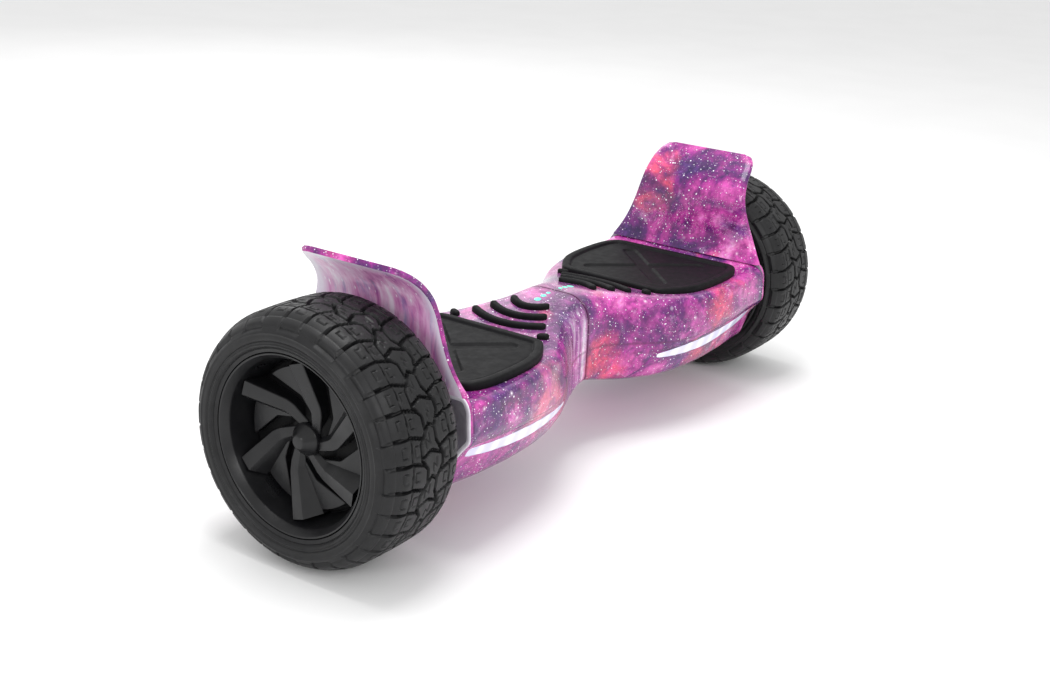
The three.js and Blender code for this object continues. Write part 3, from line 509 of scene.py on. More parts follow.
def make_materials():
    k = {}
    k["print"] = galaxy("galaxy_print", spots=SPOTS)
    k["print_low"] = galaxy("galaxy_print_low", (2.2, 0.3, 1.1), spots=SPOTS[:3] + SPOTS[8:10])
    k["print_guard"] = galaxy("galaxy_print_guard", (5.3, 1.4, 0.6), red_from=0.625, dark=0.042)
    k["wash"] = washed_print("thin_print")
    k["plate"] = plain("guard_plate", (0.20, 0.175, 0.23), (0.34, 0.31, 0.37), 30, (0.3, 0.42), bump=0.1, coat=0.2)
    k["plate_rim"] = plain("guard_rim", (0.66, 0.62, 0.70), (0.84, 0.81, 0.87), 60, (0.25, 0.35), bump=0.08, coat=0.3)
    k["rubber"] = plain("pad_rubber", (0.0040, 0.0040, 0.0045), (0.0070, 0.0070, 0.0080), 220, (0.50, 0.62), bump=0.12, grain=1500, dist=0.0001, spec=0.11)
    k["tyre"] = plain("tyre_rubber", (0.0045, 0.0045, 0.0050), (0.0090, 0.0090, 0.0100), 120, (0.40, 0.52), bump=0.25, grain=1300, dist=0.00015, spec=0.32)
    k["alloy"] = plain("painted_alloy", (0.0042, 0.0042, 0.0050), (0.0075, 0.0075, 0.0086), 90, (0.27, 0.38), bump=0.15, grain=1700, dist=0.0001, spec=0.38)
    k["recess"] = plain("shaded_alloy", (0.0015, 0.0015, 0.0018), (0.003, 0.003, 0.0034), 90, (0.5, 0.62), bump=0.2, grain=1500, dist=0.0001, spec=0.12)
    k["nylon"] = plain("white_nylon", (0.66, 0.64, 0.60), (0.80, 0.79, 0.75), 80, (0.4, 0.55), bump=0.2)
    k["cast"] = plain("cast_aluminium", (0.36, 0.365, 0.375), (0.52, 0.525, 0.53), 120, (0.42, 0.6), 1.0, 0.5, 0.0004, 500)
    k["steel"] = plain("turned_steel", (0.42, 0.42, 0.43), (0.60, 0.60, 0.61), 30, (0.22, 0.36), 1.0, 0.2, 0.0001, 60, stretch=(600, 20, 20))
    k["copper"] = plain("copper_windings", (0.48, 0.17, 0.06), (0.78, 0.34, 0.15), 30, (0.28, 0.42), 0.9, 0.9, 0.0006, 60, stretch=(40, 14, 14))
    k["board"] = plain("circuit_board", (0.006, 0.065, 0.030), (0.015, 0.13, 0.055), 240, (0.3, 0.5), bump=0.6, dist=0.0004, grain=420)
    k["cable"] = plain("cable_sheath", (0.012, 0.012, 0.013), (0.024, 0.024, 0.026), 260, (0.45, 0.6), bump=0.3)
    k["wrap"] = plain("battery_wrap", (0.010, 0.055, 0.22), (0.02, 0.10, 0.34), 70, (0.25, 0.4), bump=0.25, dist=0.0005, grain=90)
    k["plastic"] = plain("black_plastic", (0.011, 0.011, 0.012), (0.020, 0.020, 0.022), 160, (0.32, 0.48), bump=0.3, grain=1400, dist=0.00015)
    # headlight: milky lens with a row of lamps behind it
    b = Build("lit_lens")
    x, y, z = b.xyz()
    ax = b.math("ABSOLUTE", x)
    wave = b.math("SINE", b.math("MULTIPLY", b.math("SUBTRACT", ax, 0.0975), 2 * math.pi / 0.0195))
    spots = b.ramp(b.math("ADD", b.math("MULTIPLY", wave, 0.5), 0.5), [(0.0, 0.15), (0.6, 0.45), (1.0, 1.0)])
    n = b.noise(90, 3)
    tone = b.mix(b.math("MULTIPLY", spots, b.ramp(n, [(0.3, 0.6), (0.7, 1.0)])), (0.55, 0.54, 0.74), (0.86, 0.86, 0.95))
    b.colour(tone)
    b.link(tone, b.p.inputs["Emission Color"])
    b.set(Emission_Strength=0.26, Coat_Weight=0.5, Coat_Roughness=0.04)
    b.rough(b.ramp(n, [(0.3, 0.16), (0.7, 0.28)]))
    b.bump(b.noise(1, 2, vec=b.map(scale=(900, 60, 60))), 0.15, 0.0003)
    k["lens"] = b.m
    b = Build("led_strip")
    n = b.noise(120, 3)
    tone = b.ramp(n, [(0.35, (0.75, 0.75, 0.95)), (0.65, (1, 1, 1))])
    b.colour(tone)
    b.link(tone, b.p.inputs["Emission Color"])
    b.set(Emission_Strength=1.0)
    b.rough(b.ramp(n, [(0.3, 0.3), (0.7, 0.5)]))
    k["led"] = b.m
    b = Build("mint_glow")
    n = b.noise(700, 3)
    tone = b.ramp(n, [(0.35, (0.06, 0.56, 0.38)), (0.65, (0.16, 0.72, 0.52))])
    b.colour(tone)
    b.link(tone, b.p.inputs["Emission Color"])
    b.set(Emission_Strength=0.55, Coat_Weight=0.4)
    b.rough(b.ramp(n, [(0.3, 0.2), (0.7, 0.35)]))
    k["mint"] = b.m
    return k


MAT = make_materials()

# ------------------------------------------------------------------ covers
SX = [s[0] for s in SECTIONS]
SP = np.array([s[1] for s in SECTIONS], float)
FRACS = [0.48, 0.48, 0.48, 0.46, 0.34, 0.20, 0.30, 0.30, 0.40, 0.36, 0.45]
# strength of the painted crease shade at each rounded corner of the section
CREASE_AT = [0, 0.0, 0, 0, 0, 0.8, 0.3, 0.0, 0, 0.4, 0]


def section(x):
    return pchip(SX, SP, [x])[0]


def top_z(x):
    return float(section(x)[0, 1])


def profile(x):
    pts = rounded(section(x), FRACS, k=5, runs=2, first=8, last=6)
    return pts


def crease_weights():
    """1 on the vertices of a moulded crease, matching profile()."""
    w = [0.0]
    for i in range(1, 12):
        w += [0.0] * (8 if i == 1 else 2)
        w += [0.0, CREASE_AT[i - 1] * 0.5, CREASE_AT[i - 1], CREASE_AT[i - 1] * 0.5, 0.0]
    w += [0.0] * 6 + [0.0]
    return w


def cover_grid():
    xs = sorted(set(list(np.round(np.linspace(0.3, 16, 8), 3)) + list(np.round(np.linspace(16, 228, 86), 3)) + list(np.round(np.linspace(228, 243.9, 12), 3))))
    rings = []
    cw = crease_weights()
    cr = []
    # end wall round the pivot
    p = profile(0.3)
    full = np.vstack([p, p[-2:0:-1] * [-1, 1]])
    cfull = np.array(cw + cw[-2:0:-1])
    c = np.array([0, AXLE])
    ang = np.arctan2(full[:, 1] - c[1], full[:, 0])
    hole = np.stack([np.cos(ang) * 21.5, np.sin(ang) * 21.5 + c[1]], 1)
    inner = full + (c - full) / np.linalg.norm(c - full, axis=1, keepdims=True) * 1.0
    rings.append(np.column_stack([np.full(len(full), 0.35), hole]))
    cr.append(np.zeros(len(full)))
    rings.append(np.column_stack([np.full(len(full), 0.35), (hole + inner) / 2]))
    cr.append(np.zeros(len(full)))
    rings.append(np.column_stack([np.full(len(full), 0.35), inner]))
    cr.append(np.ones(len(full)) * 0.8)
    for i, x in enumerate(xs):
        p = profile(x)
        f = np.vstack([p, p[-2:0:-1] * [-1, 1]])
        xx = x + (0.6 if i == 0 else 0.0)
        rings.append(np.column_stack([np.full(len(f), xx), f]))
        edge = 0.9 if i == 0 else (0.4 if i == 1 and x < 3 else 0.0)
        cr.append(np.maximum(cfull, edge))
    n = len(rings[0])
    V = np.vstack(rings)
    F = grid(len(rings), n, wrap_v=True)
    C = np.concatenate(cr)
    # front is -Y, the tables give +Y first
    return V, F, C


GV, GF, GC = cover_grid()
seam_z = np.interp(GV[:, 0], [s[0] for s in SEAM], [s[1] for s in SEAM])


def outward(V, F):
    """Faces turned so that they look away from the middle line of the half."""
    V = np.asarray(V)
    s = 0.0
    for f in F[:: max(1, len(F) // 800)]:
        a, b, c = V[f[0]], V[f[1]], V[f[2]]
        m = (a + b + c) / 3
        s += float(np.dot(np.cross(b - a, c - a), m - np.array([122, 0, 95])))
    return F if s > 0 else flip_faces(F)


def clip4(V, F, f):
    """clip() that carries a fourth column."""
    V = [tuple(v) for v in V]
    new, out = {}, []

    def cut(a, b):
        key = (a, b) if a < b else (b, a)
        if key not in new:
            t = f[a] / (f[a] - f[b])
            V.append(tuple(p + (q - p) * t for p, q in zip(V[a], V[b])))
            new[key] = len(V) - 1
        return new[key]

    for face in F:
        keep = [f[i] >= 0 for i in face]
        if all(keep):
            out.append(tuple(face))
            continue
        if not any(keep):
            continue
        poly = []
        for k in range(len(face)):
            a, b = face[k], face[(k + 1) % len(face)]
            if f[a] >= 0:
                poly.append(a)
            if keep[k] != keep[(k + 1) % len(face)]:
                poly.append(cut(a, b))
        if len(set(poly)) >= 3:
            out.append(tuple(poly))
    used = sorted({i for fc in out for i in fc})
    where = {a: b for b, a in enumerate(used)}
    return np.array([V[i] for i in used]), [tuple(where[i] for i in fc) for fc in out]


G4 = np.column_stack([GV, GC])
up_V, up_F = clip4(G4, GF, list(GV[:, 2] - seam_z - 0.22))
lo_V, lo_F = clip4(G4, GF, list(seam_z - 0.22 - GV[:, 2]))


def lens_field(V):
    V = np.asarray(V)
    x, y, z = V[:, 0], V[:, 1], V[:, 2]
    zt = np.interp(x, [l[0] for l in LENS], [l[1] for l in LENS])
    zb = np.interp(x, [l[0] for l in LENS], [l[2] for l in LENS])
    g = np.minimum(np.minimum(zt - z, z - zb), np.minimum((x - 80) * 0.8, (236 - x) * 0.8))
    return np.where(y < -40, g, -50.0)


# the lens is the patch of the front face inside its outline, a little proud of the cover
lens_g = lens_field(lo_V)
lens_V, lens_F = clip4(lo_V, lo_F, list(lens_g))
low_V, low_F = clip4(lo_V, lo_F, list(-lens_g - 0.35))


def round_hole(V, centre, r):
    d = np.linalg.norm(np.asarray(V)[:, :3] - np.array(centre), axis=1)
    return list(d - r)


def cover(name, V4, F, side, mat, body, node, wall=3.2, slot="printed_cover"):
    V, C = V4[:, :3], V4[:, 3]
    F = outward(V, F)
    if side == "left":
        V, F = mirror(V), flip_faces(F)
    o = make(name, V, F, [MAT[mat]], fix=False, sharp=34, solid=wall, attrs={"crease": C})
    return attach(o, body, slot, node)


for side in ("left", "right"):
    cover(f"{side}_top_shell", up_V, up_F, side, "print", f"{side}_half", f"{side}_upper_cover")
    c = PORT if side == "right" else BUTTON
    hv, hf = clip4(low_V, low_F, round_hole(low_V, c, 10.6))
    cover(f"{side}_bottom_shell", hv, hf, side, "print_low", f"{side}_half", f"{side}_lower_cover", slot="printed_cover_low")
    V = lens_V[:, :3].copy()
    V[:, 1] -= 0.15
    F = outward(V, lens_F)
    if side == "left":
        V, F = mirror(V), flip_faces(F)
    o = make(f"{side}_lamp_glass", V, F, [MAT["lens"]], fix=False, sharp=60, solid=1.6)
    attach(o, f"{side}_half", "headlight_glow", f"{side}_headlight_lens")


# ------------------------------------------------------------------ deck parts
def wall_ring(loops, name, mats, index_of=None, cap_first=False, cap_last=False):
    n = len(loops[0])
    V = np.vstack(loops)
    F = grid(len(loops), n, wrap_v=True)
    if cap_last:
        F.append(tuple(range((len(loops) - 1) * n, len(loops) * n)))
    if cap_first:
        F.append(tuple(reversed(range(n))))
    return V, F


def segment_distance(P, a, b):
    a, b = np.asarray(a, float), np.asarray(b, float)
    d = b - a
    t = np.clip(((P - a) @ d) / (d @ d), 0, 1)
    return np.linalg.norm(P - (a + t[:, None] * d), axis=1)


def foot_pad(side):
    half = np.array(PAD_HALF, float)
    outline = np.vstack([half, half[-2:0:-1] * [1, -1]])
    base = resample(corner_round(outline, 5, 5, closed=True), 260)
    rise = [(0.35, 127.9), (0.0, 129.0), (0.0, 132.6), (0.35, 133.7), (1.1, 134.35), (2.1, 134.6), (6.0, 134.6), (7.1, 134.3), (7.9, 133.6), (8.4, 132.8), (9.0, 132.3), (9.8, 132.25)]
    loops = []
    for d, z in rise:
        l = inset(base, d)
        loops.append(np.column_stack([l, np.full(len(l), z)]))
    V, F = wall_ring(loops, "", [])
    V, F = list(map(tuple, V)), list(F)
    # sunken field with its cross
    edge = inset(base, 9.4)
    xs = np.arange(104.0, 219.0, 1.15)
    ys = np.arange(-71.0, 71.6, 1.15)
    X, Y = np.meshgrid(xs, ys, indexing="ij")
    P = np.column_stack([X.ravel(), Y.ravel()])
    nxt = np.roll(edge, -1, 0)
    inside = np.zeros(len(P), bool)
    for a, b in zip(edge, nxt):
        cond = ((a[1] > P[:, 1]) != (b[1] > P[:, 1]))
        with np.errstate(divide="ignore", invalid="ignore"):
            xi = (b[0] - a[0]) * (P[:, 1] - a[1]) / (b[1] - a[1]) + a[0]
        inside ^= cond & (P[:, 0] < xi)
    dist = np.full(len(P), 1e9)
    for a, b in zip(edge, nxt):
        dist = np.minimum(dist, segment_distance(P, a, b))
    sd = np.where(inside, dist, -dist)
    cx, cy = 162.0, 0.0
    d1 = segment_distance(P, (cx - 38, cy - 39), (cx + 38, cy + 39))
    d2 = segment_distance(P, (cx - 38, cy + 39), (cx + 38, cy - 39))
    d = np.minimum(d1, d2)
    s = np.clip((d - 6.0) / 1.2, 0, 1)
    s = s * s * (3 - 2 * s)
    Z = 132.25 + 0.45 * np.clip(sd / 2.0, 0, 1) - 1.5 * (1 - s)
    gv, gf = clip4(np.column_stack([P, Z]), grid(len(xs), len(ys)), list(sd))
    off = len(V)
    V += [tuple(v) for v in gv]
    F += [tuple(i + off for i in f) for f in gf]
    V = np.array(V)
    if side == "left":
        V = mirror(V)
    o = make(f"{side}_deck_pad", V, F, [MAT["rubber"]], fix=True, sharp=50)
    # the field has to look up
    me = o.data
    bm = bmesh.new()
    bm.from_mesh(me)
    for f in bm.faces:
        if f.normal.z < -0.2 and f.calc_center_median().z > 0.129:
            f.normal_flip()
    bm.to_mesh(me)
    bm.free()
    return attach(o, f"{side}_pad", "grip_rubber", f"{side}_foot_pad")


def sweep_bar(path, half, height, steps):
    """A rounded rib standing on the deck along a path of (x, y, z of the deck)."""
    P = resample(path, steps, closed=False)
    T = np.gradient(P[:, :2], axis=0)
    T /= np.linalg.norm(T, axis=1, keepdims=True)
    N = np.stack([-T[:, 1], T[:, 0]], 1)
    shape = [(-1.0, -0.35), (-1.0, 0.35), (-0.93, 0.62), (-0.74, 0.84), (-0.45, 0.97), (0, 1.0), (0.45, 0.97), (0.74, 0.84), (0.93, 0.62), (1.0, 0.35), (1.0, -0.35)]
    s = np.concatenate([[0], np.cumsum(np.linalg.norm(np.diff(P, axis=0), axis=1))])
    total = s[-1]
    rings = []
    for i in range(steps):
        e = min(s[i], total - s[i])
        k = 1.0 if e >= half else math.sqrt(max(0.0, 1 - (1 - e / half) ** 2))
        k = max(k, 0.02)
        hh = height * (0.62 + 0.38 * k)
        rings.append([(P[i, 0] + N[i, 0] * a * half * k, P[i, 1] + N[i, 1] * a * half * k, P[i, 2] + (hh * b if b > 0 else b * 3)) for a, b in shape])
    m = len(shape)
    V = [v for r in rings for v in r]
    F = grid(steps, m)
    F.append(tuple(range(m)))
    F.append(tuple(reversed(range((steps - 1) * m, steps * m))))
    # underside, so each rib is a closed body
    for i in range(steps - 1):
        F.append((i * m, (i + 1) * m, (i + 1) * m + m - 1, i * m + m - 1))
    return V, F


def end_dense(n):
    """Parameter values with more of them near both ends."""
    t = np.linspace(-1, 1, n)
    return np.sin(t * math.pi / 2) * 0.55 + t * 0.45


def grip_bars(side):
    V, F = [], []
    for tip_x, tip_y, mid_x in BARS:
        ys = end_dense(61) * tip_y
        path = [(mid_x - (mid_x - tip_x) * (y / tip_y) ** 2, y) for y in ys]
        path = [(x, y, top_z(x)) for x, y in path]
        v, f = sweep_bar(path, 3.7, 4.4, 90)
        off = len(V)
        V += v
        F += [tuple(i + off for i in q) for q in f]
    for s in (1, -1):
        ts = end_dense(21) * 5.4
        path = [(86.5 + 0.45 * t, s * (47 - 0.89 * t)) for t in ts]
        path = [(x, y, top_z(x)) for x, y in path]
        v, f = sweep_bar(path, 3.6, 4.2, 26)
        off = len(V)
        V += v
        F += [tuple(i + off for i in q) for q in f]
    V = np.array(V)
    if side == "left":
        V = mirror(V)
    o = make(f"{side}_deck_ribs", V, F, [MAT["rubber"]], sharp=60)
    return attach(o, f"{side}_half", "grip_rubber", f"{side}_grip_bars")


def indicator(side):
    V, F = [], []
    n = 24
    for x, r in DOTS:
        z0 = top_z(x)
        slope = (top_z(x + 2) - top_z(x - 2)) / 4 if x > 3 else 0
        rings = [(r, -1.2), (r, 0.12), (r * 0.93, 0.28), (r * 0.7, 0.42), (r * 0.35, 0.5)]
        off = len(V)
        for rr, h in rings:
            for k in range(n):
                a = 2 * math.pi * k / n
                px = x + rr * math.cos(a)
                V.append((px, rr * math.sin(a), z0 + slope * (px - x) + h))
        F += [tuple(i + off for i in f) for f in grid(len(rings), n, wrap_v=True)]
        V.append((x, 0, z0 + 0.52))
        top = len(V) - 1
        last = off + (len(rings) - 1) * n
        F += [(last + k, last + (k + 1) % n, top) for k in range(n)]
    V = np.array(V)
    if side == "left":
        V = mirror(V)
    o = make(f"{side}_status_dots", V, F, [MAT["mint"]], sharp=60)
    return attach(o, f"{side}_half", "indicator_glow", f"{side}_indicator_light")


# ------------------------------------------------------------------ guards
def guard(side):
    """Flared wheel guard with its end plate."""
    fin = np.array(F_IN)
    fout = np.array(F_OUT)
    zi = np.linspace(133.0, 234.2, 64)
    # bend line of each face by arc length
    a = resample(pchip(range(len(fin)), fin, np.linspace(0, len(fin) - 1, 160)), 56, closed=False)
    b = resample(pchip(range(len(fout)), fout, np.linspace(0, len(fout) - 1, 160)), 56, closed=False)
    sy, sz = [s[0] for s in SIDE], [s[1] for s in SIDE]
    ring_n = 18
    V, edge, F, M = [], [], [], []
    rings = 0
    for i in range(len(a)):
        pi, po = a[i], b[i]
        w = float(np.interp((pi[1] + po[1]) / 2, sz, sy))
        if i == len(a) - 1:
            w = 42
        th = float(np.linalg.norm(po - pi))
        r = th * 0.5
        ts = np.linspace(-1, 1, ring_n)
        loop = []
        for t in ts:      # inner face, -y to +y
            loop.append((pi[0], t * (w - r * 0.7), pi[1], abs(t)))
        for q in (0.12, 0.3, 0.5, 0.7, 0.88):
            bulge = math.sin(math.pi * q)
            loop.append((pi[0] + (po[0] - pi[0]) * q, (w - r * 0.7) + r * 0.7 * bulge, pi[1] + (po[1] - pi[1]) * q, 1.0))
        for t in ts[::-1]:
            loop.append((po[0], t * (w - r * 0.7), po[1], abs(t)))
        for q in (0.88, 0.7, 0.5, 0.3, 0.12):
            bulge = math.sin(math.pi * q)
            loop.append((pi[0] + (po[0] - pi[0]) * q, -(w - r * 0.7) - r * 0.7 * bulge, pi[1] + (po[1] - pi[1]) * q, 1.0))
        V += [l[:3] for l in loop]
        h = (i / (len(a) - 1))
        edge += [max(l[3] ** 3, 0.0 + 0.9 * max(0.0, (h - 0.72) / 0.28)) if ring_n + 5 <= k < 2 * ring_n + 5 else 0.0 for k, l in enumerate(loop)]
        rings += 1
    n = 2 * ring_n + 10
    F = grid(rings, n, wrap_v=True)
    for i in range(rings - 1):
        for j in range(n):
            M.append(1 if ring_n + 5 <= j < 2 * ring_n + 4 else 0)
    F.append(tuple(range((rings - 1) * n, rings * n)))
    M.append(0)
    F.append(tuple(range(n)))
    M.append(0)
    # plate between the body and the wheel
    right = [(86.0, 134.6)] + END
    outline = np.array(right + [(-y, z) for y, z in reversed(right[:-1])], float)
    base = resample(corner_round(outline, 4, 4, closed=True), 200)
    steps = [(0.0, 244.35, 0), (0.0, 247.6, 0), (0.3, 248.3, 3), (0.9, 248.6, 3), (3.4, 248.6, 3), (3.8, 248.15, 2)]
    c = np.array([0.0, AXLE])
    off = len(V)
    loops = []
    for d, x, m in steps:
        l = inset(base, d)
        loops.append(np.column_stack([np.full(len(l), x), l]))
    ang = np.arctan2(base[:, 1] - AXLE, base[:, 0])
    for r, x in ((40, 248.1), (15.2, 248.1), (15.2, 244.4)):
        loops.append(np.column_stack([np.full(len(base), x), np.cos(ang) * r, AXLE + np.sin(ang) * r]))
    m = len(base)
    pf = grid(len(loops), m, wrap_v=True)
    kinds = [0, 3, 3, 3, 2, 2, 2, 2]
    for i in range(len(loops) - 1):
        M += [kinds[i]] * m
    F += [tuple(k + off for k in f) for f in pf]
    # inner face of the plate
    last, first = off + (len(loops) - 1) * m, off
    for k in range(m):
        F.append((last + k, last + (k + 1) % m, first + (k + 1) % m, first + k))
        M.append(2)
    for l in loops:
        V += [tuple(v) for v in l]
        edge += [0.0] * len(l)
    V = np.array(V)
    if side == "left":
        V = mirror(V)
    o = make(f"{side}_wheel_guard", V, F, [MAT["print_guard"], MAT["wash"], MAT["plate"], MAT["plate_rim"]], index=M, sharp=50, attrs={"edge": edge, "crease": [0.0] * len(V)})
    return attach(o, f"{side}_half", "printed_cover", f"{side}_fender")


# ------------------------------------------------------------------ wheels
def place(V, side):
    """(out from the middle, to the front, up) to the row frame."""
    V = np.asarray(V, float)
    s = -1 if side == "left" else 1
    return np.column_stack([s * V[:, 0], s * V[:, 1], AXLE + V[:, 2]])


def lathe(prof, n, closed=False):
    """Turned about the wheel's axle."""
    P = np.asarray(prof, float)
    V = []
    for i in range(n):
        a = 2 * math.pi * i / n
        c, s = math.cos(a), math.sin(a)
        V += [(d, r * c, r * s) for d, r in P]
    return V, grid(n, len(P), wrap_u=True, wrap_v=closed)


TILES = 16
PITCH = 2 * math.pi * 102.5 / TILES
DEEP = [   # main grooves of one tread tile: (u, v) to (u, v), width, depth
    ((0, 5), (6, 11.5)), ((6, 11.5), (13.4, 11.5)), ((13.4, 11.5), (19, 5)), ((19, 5), (26.8, 5)),
    ((0, -12), (5.6, -12)), ((5.6, -12), (13.4, -5.5)), ((13.4, -5.5), (20, -5.5)), ((20, -5.5), (26.8, -12)),
    ((3, 8.2), (5.6, 20)), ((5.6, 20), (6.2, 38)), ((16.4, 8.5), (19, 20)), ((19, 20), (19.6, 38)),
    ((9.4, -9), (12, -20)), ((12, -20), (12.8, -38)), ((22.8, -8), (25.4, -20)), ((25.4, -20), (26.2, -38)),
    ((6, 11.5), (9.2, 0.5)), ((9.2, 0.5), (5.6, -12)), ((19, 5), (22.4, 0)), ((22.4, 0), (20, -5.5)),
]
THIN = [
    ((5.8, 22), (19.2, 20.5)), ((19.2, 22), (32.6, 20.5)), ((-7.6, 22), (5.8, 20.5)),
    ((12.2, -22), (25.6, -20.5)), ((25.6, -22), (39, -20.5)), ((-1.2, -22), (12.2, -20.5)),
]
SIPES = []
for cu, cv in ((11.6, 16.2), (25.2, 16.2), (12.8, 28), (26.4, 28), (4.6, -16.5), (18.2, -16.5), (5.6, -28), (19.2, -28)):
    SIPES += [((cu - 2.6, cv - 2), (cu - 2.6, cv + 2)), ((cu - 2.6, cv + 2), (cu + 2.4, cv + 2)), ((cu + 2.4, cv + 2), (cu + 2.4, cv - 2))]
for cu, cv in ((14.6, 3.2), (1.2, -3.6)):
    SIPES += [((cu - 3.4, cv + 2.4), (cu + 1.2, cv + 2.4)), ((cu + 1.2, cv + 2.4), (cu - 1.2, cv - 1.6)), ((cu - 1.2, cv - 1.6), (cu + 3.4, cv - 1.6))]
LUGS = [((2.2, 36), (2.2, 43)), ((10.2, 36), (10.2, 43)), ((-10, 36), (-10, 43))]


K = PITCH / 26.8
FULL = PITCH


def tread_tile(nu, vs):
    """Depth of the pattern below the crown over one tile."""
    us = np.arange(nu) * PITCH / nu
    U, W = np.meshgrid(us, vs, indexing="ij")
    P = np.column_stack([U.ravel(), W.ravel()])
    D = np.zeros(len(P))

    def carve(segs, width, depth, soft):
        nonlocal D
        for a, b in segs:
            for k in (-1, 0, 1):
                sh = np.array([k * PITCH, 0])
                d = segment_distance(P, np.asarray(a) * (K, 1) + sh, np.asarray(b) * (K, 1) + sh)
                t = np.clip((width / 2 + soft - d) / soft, 0, 1)
                D = np.maximum(D, depth * t)

    carve(DEEP, 1.5, 3.4, 0.6)
    carve(THIN, 0.6, 1.8, 0.5)
    carve(SIPES, 0.5, 1.0, 0.45)
    return D.reshape(nu, len(vs))


def tyre(side):
    nu = 40
    vs = np.concatenate([np.linspace(-35.2, 35.2, 80)])
    D = tread_tile(nu, vs)
    # shoulder lugs: every other block runs further down the sidewall
    crown = 102.5 - 0.6 * (np.abs(vs) / 24) ** 2 - 3.5 * np.clip((np.abs(vs) - 25) / 10.2, 0, 1) ** 2
    D = D * np.clip((37.5 - np.abs(vs)) / 2.0, 0.45, 1)[None, :]
    mid = 306.4
    tread = np.stack([mid + vs, crown], 1)
    # sidewall from the shoulder to the bead, with raised rings
    def sidewall(sign):
        k = np.linspace(0, 1, 33)[1:]
        ctrl = [(35.2, 98.4), (40.2, 95.0), (44.0, 89.5), (45.4, 84.0), (44.9, 79.0), (43.2, 74.6), (42.2, 72.4)] if sign > 0 else [(35.2, 98.4), (39.3, 94.5), (41.6, 89.5), (42.4, 84.0), (41.6, 79.5), (40.0, 76.0), (38.8, 74.7)]
        c = pchip(np.linspace(0, 1, len(ctrl)), ctrl, k)
        out = []
        for t, (x, r) in zip(k, c):
            out.append([mid + sign * x, r])
        return np.array(out)
    outer, inner = sidewall(1), sidewall(-1)
    for arr, sg in ((outer, 1), (inner, -1)):
        for i, (x, r) in enumerate(arr):
            raise_ = 0.8 if 86.4 < r < 88.4 or 77.4 < r < 79.0 else (-0.7 if 80.4 < r < 81.6 or 90.4 < r < 91.6 or 75.4 < r < 76.4 else 0)
            arr[i, 0] += sg * raise_
    bead_out = np.array([(344.4, 71.9), (340.6, 68.0), (336, 67.9), (338, 88), (328, 94.5), (286, 94.5), (276, 88), (278, 67.9), (272.6, 67.9), (272.6, 74.7), (267.6, 74.7)])
    loop = np.vstack([inner[::-1], tread, outer, bead_out])
    n_in, n_tr = len(inner), len(tread)
    n = TILES * nu
    L = len(loop)
    V = np.zeros((n, L, 3))
    nrm = np.array([0.0, 1.0])
    for i in range(n):
        a = 2 * math.pi * i / n
        r = loop[:, 1].copy()
        x = loop[:, 0].copy()
        r[n_in:n_in + n_tr] -= D[i % nu]
        # lugs on the shoulders
        u = (i % nu) / nu
        for arr0, cnt, sg, ph in ((n_in + n_tr, len(outer), 1, 0.22), (0, n_in, -1, 0.45)):
            q = (u - ph) % 1.0
            half = 0.5
            near = min(q % half, half - q % half) * PITCH
            lug = np.clip((near - 1.0) / 0.8, 0, 1)
            longer = 1.0 if (q < half) else 0.35
            seg = slice(arr0, arr0 + cnt)
            rr = loop[seg, 1]
            reach = 89.5 if longer == 1.0 else 93.8
            band = np.clip((rr - reach) / 1.2, 0, 1)
            dep = 1.7 * band * (1 - lug) + (1.5 if longer < 1 else 0.0) * np.clip((93.8 - rr) / 1.0, 0, 1) * np.clip((rr - 89.5) / 1.0, 0, 1)
            x[seg] -= sg * dep * 0.8
            r[seg] -= dep * 0.35
        V[i, :, 0] = x
        V[i, :, 1] = r * math.cos(a)
        V[i, :, 2] = r * math.sin(a)
    V = V.reshape(-1, 3)
    F = grid(n, L, wrap_u=True, wrap_v=True)
    o = make(f"{side}_offroad_tyre", place(V, side), F, [MAT["tyre"]], sharp=40)
    return attach(o, f"{side}_wheel", "tyre", f"{side}_tyre")


def rim(side):
    prof = [(317, 0.02), (317, 61.5), (342, 66), (348.6, 70.2), (348.6, 71.7), (341.2, 67.2), (272.2, 67), (272.2, 74), (268, 74), (268, 12), (273.9, 12), (273.9, 57), (312.8, 57), (312.8, 0.02)]
    P = corner_round(prof, 1.1, 4)
    V, F = lathe(P, 144)
    o = make(f"{side}_alloy_rim", place(V, side), F, [MAT["alloy"]], sharp=42)
    return attach(o, f"{side}_wheel", "black_alloy", f"{side}_wheel_rim")


def polar(deg, r):
    return np.array([r * math.cos(math.radians(deg)), r * math.sin(math.radians(deg))])


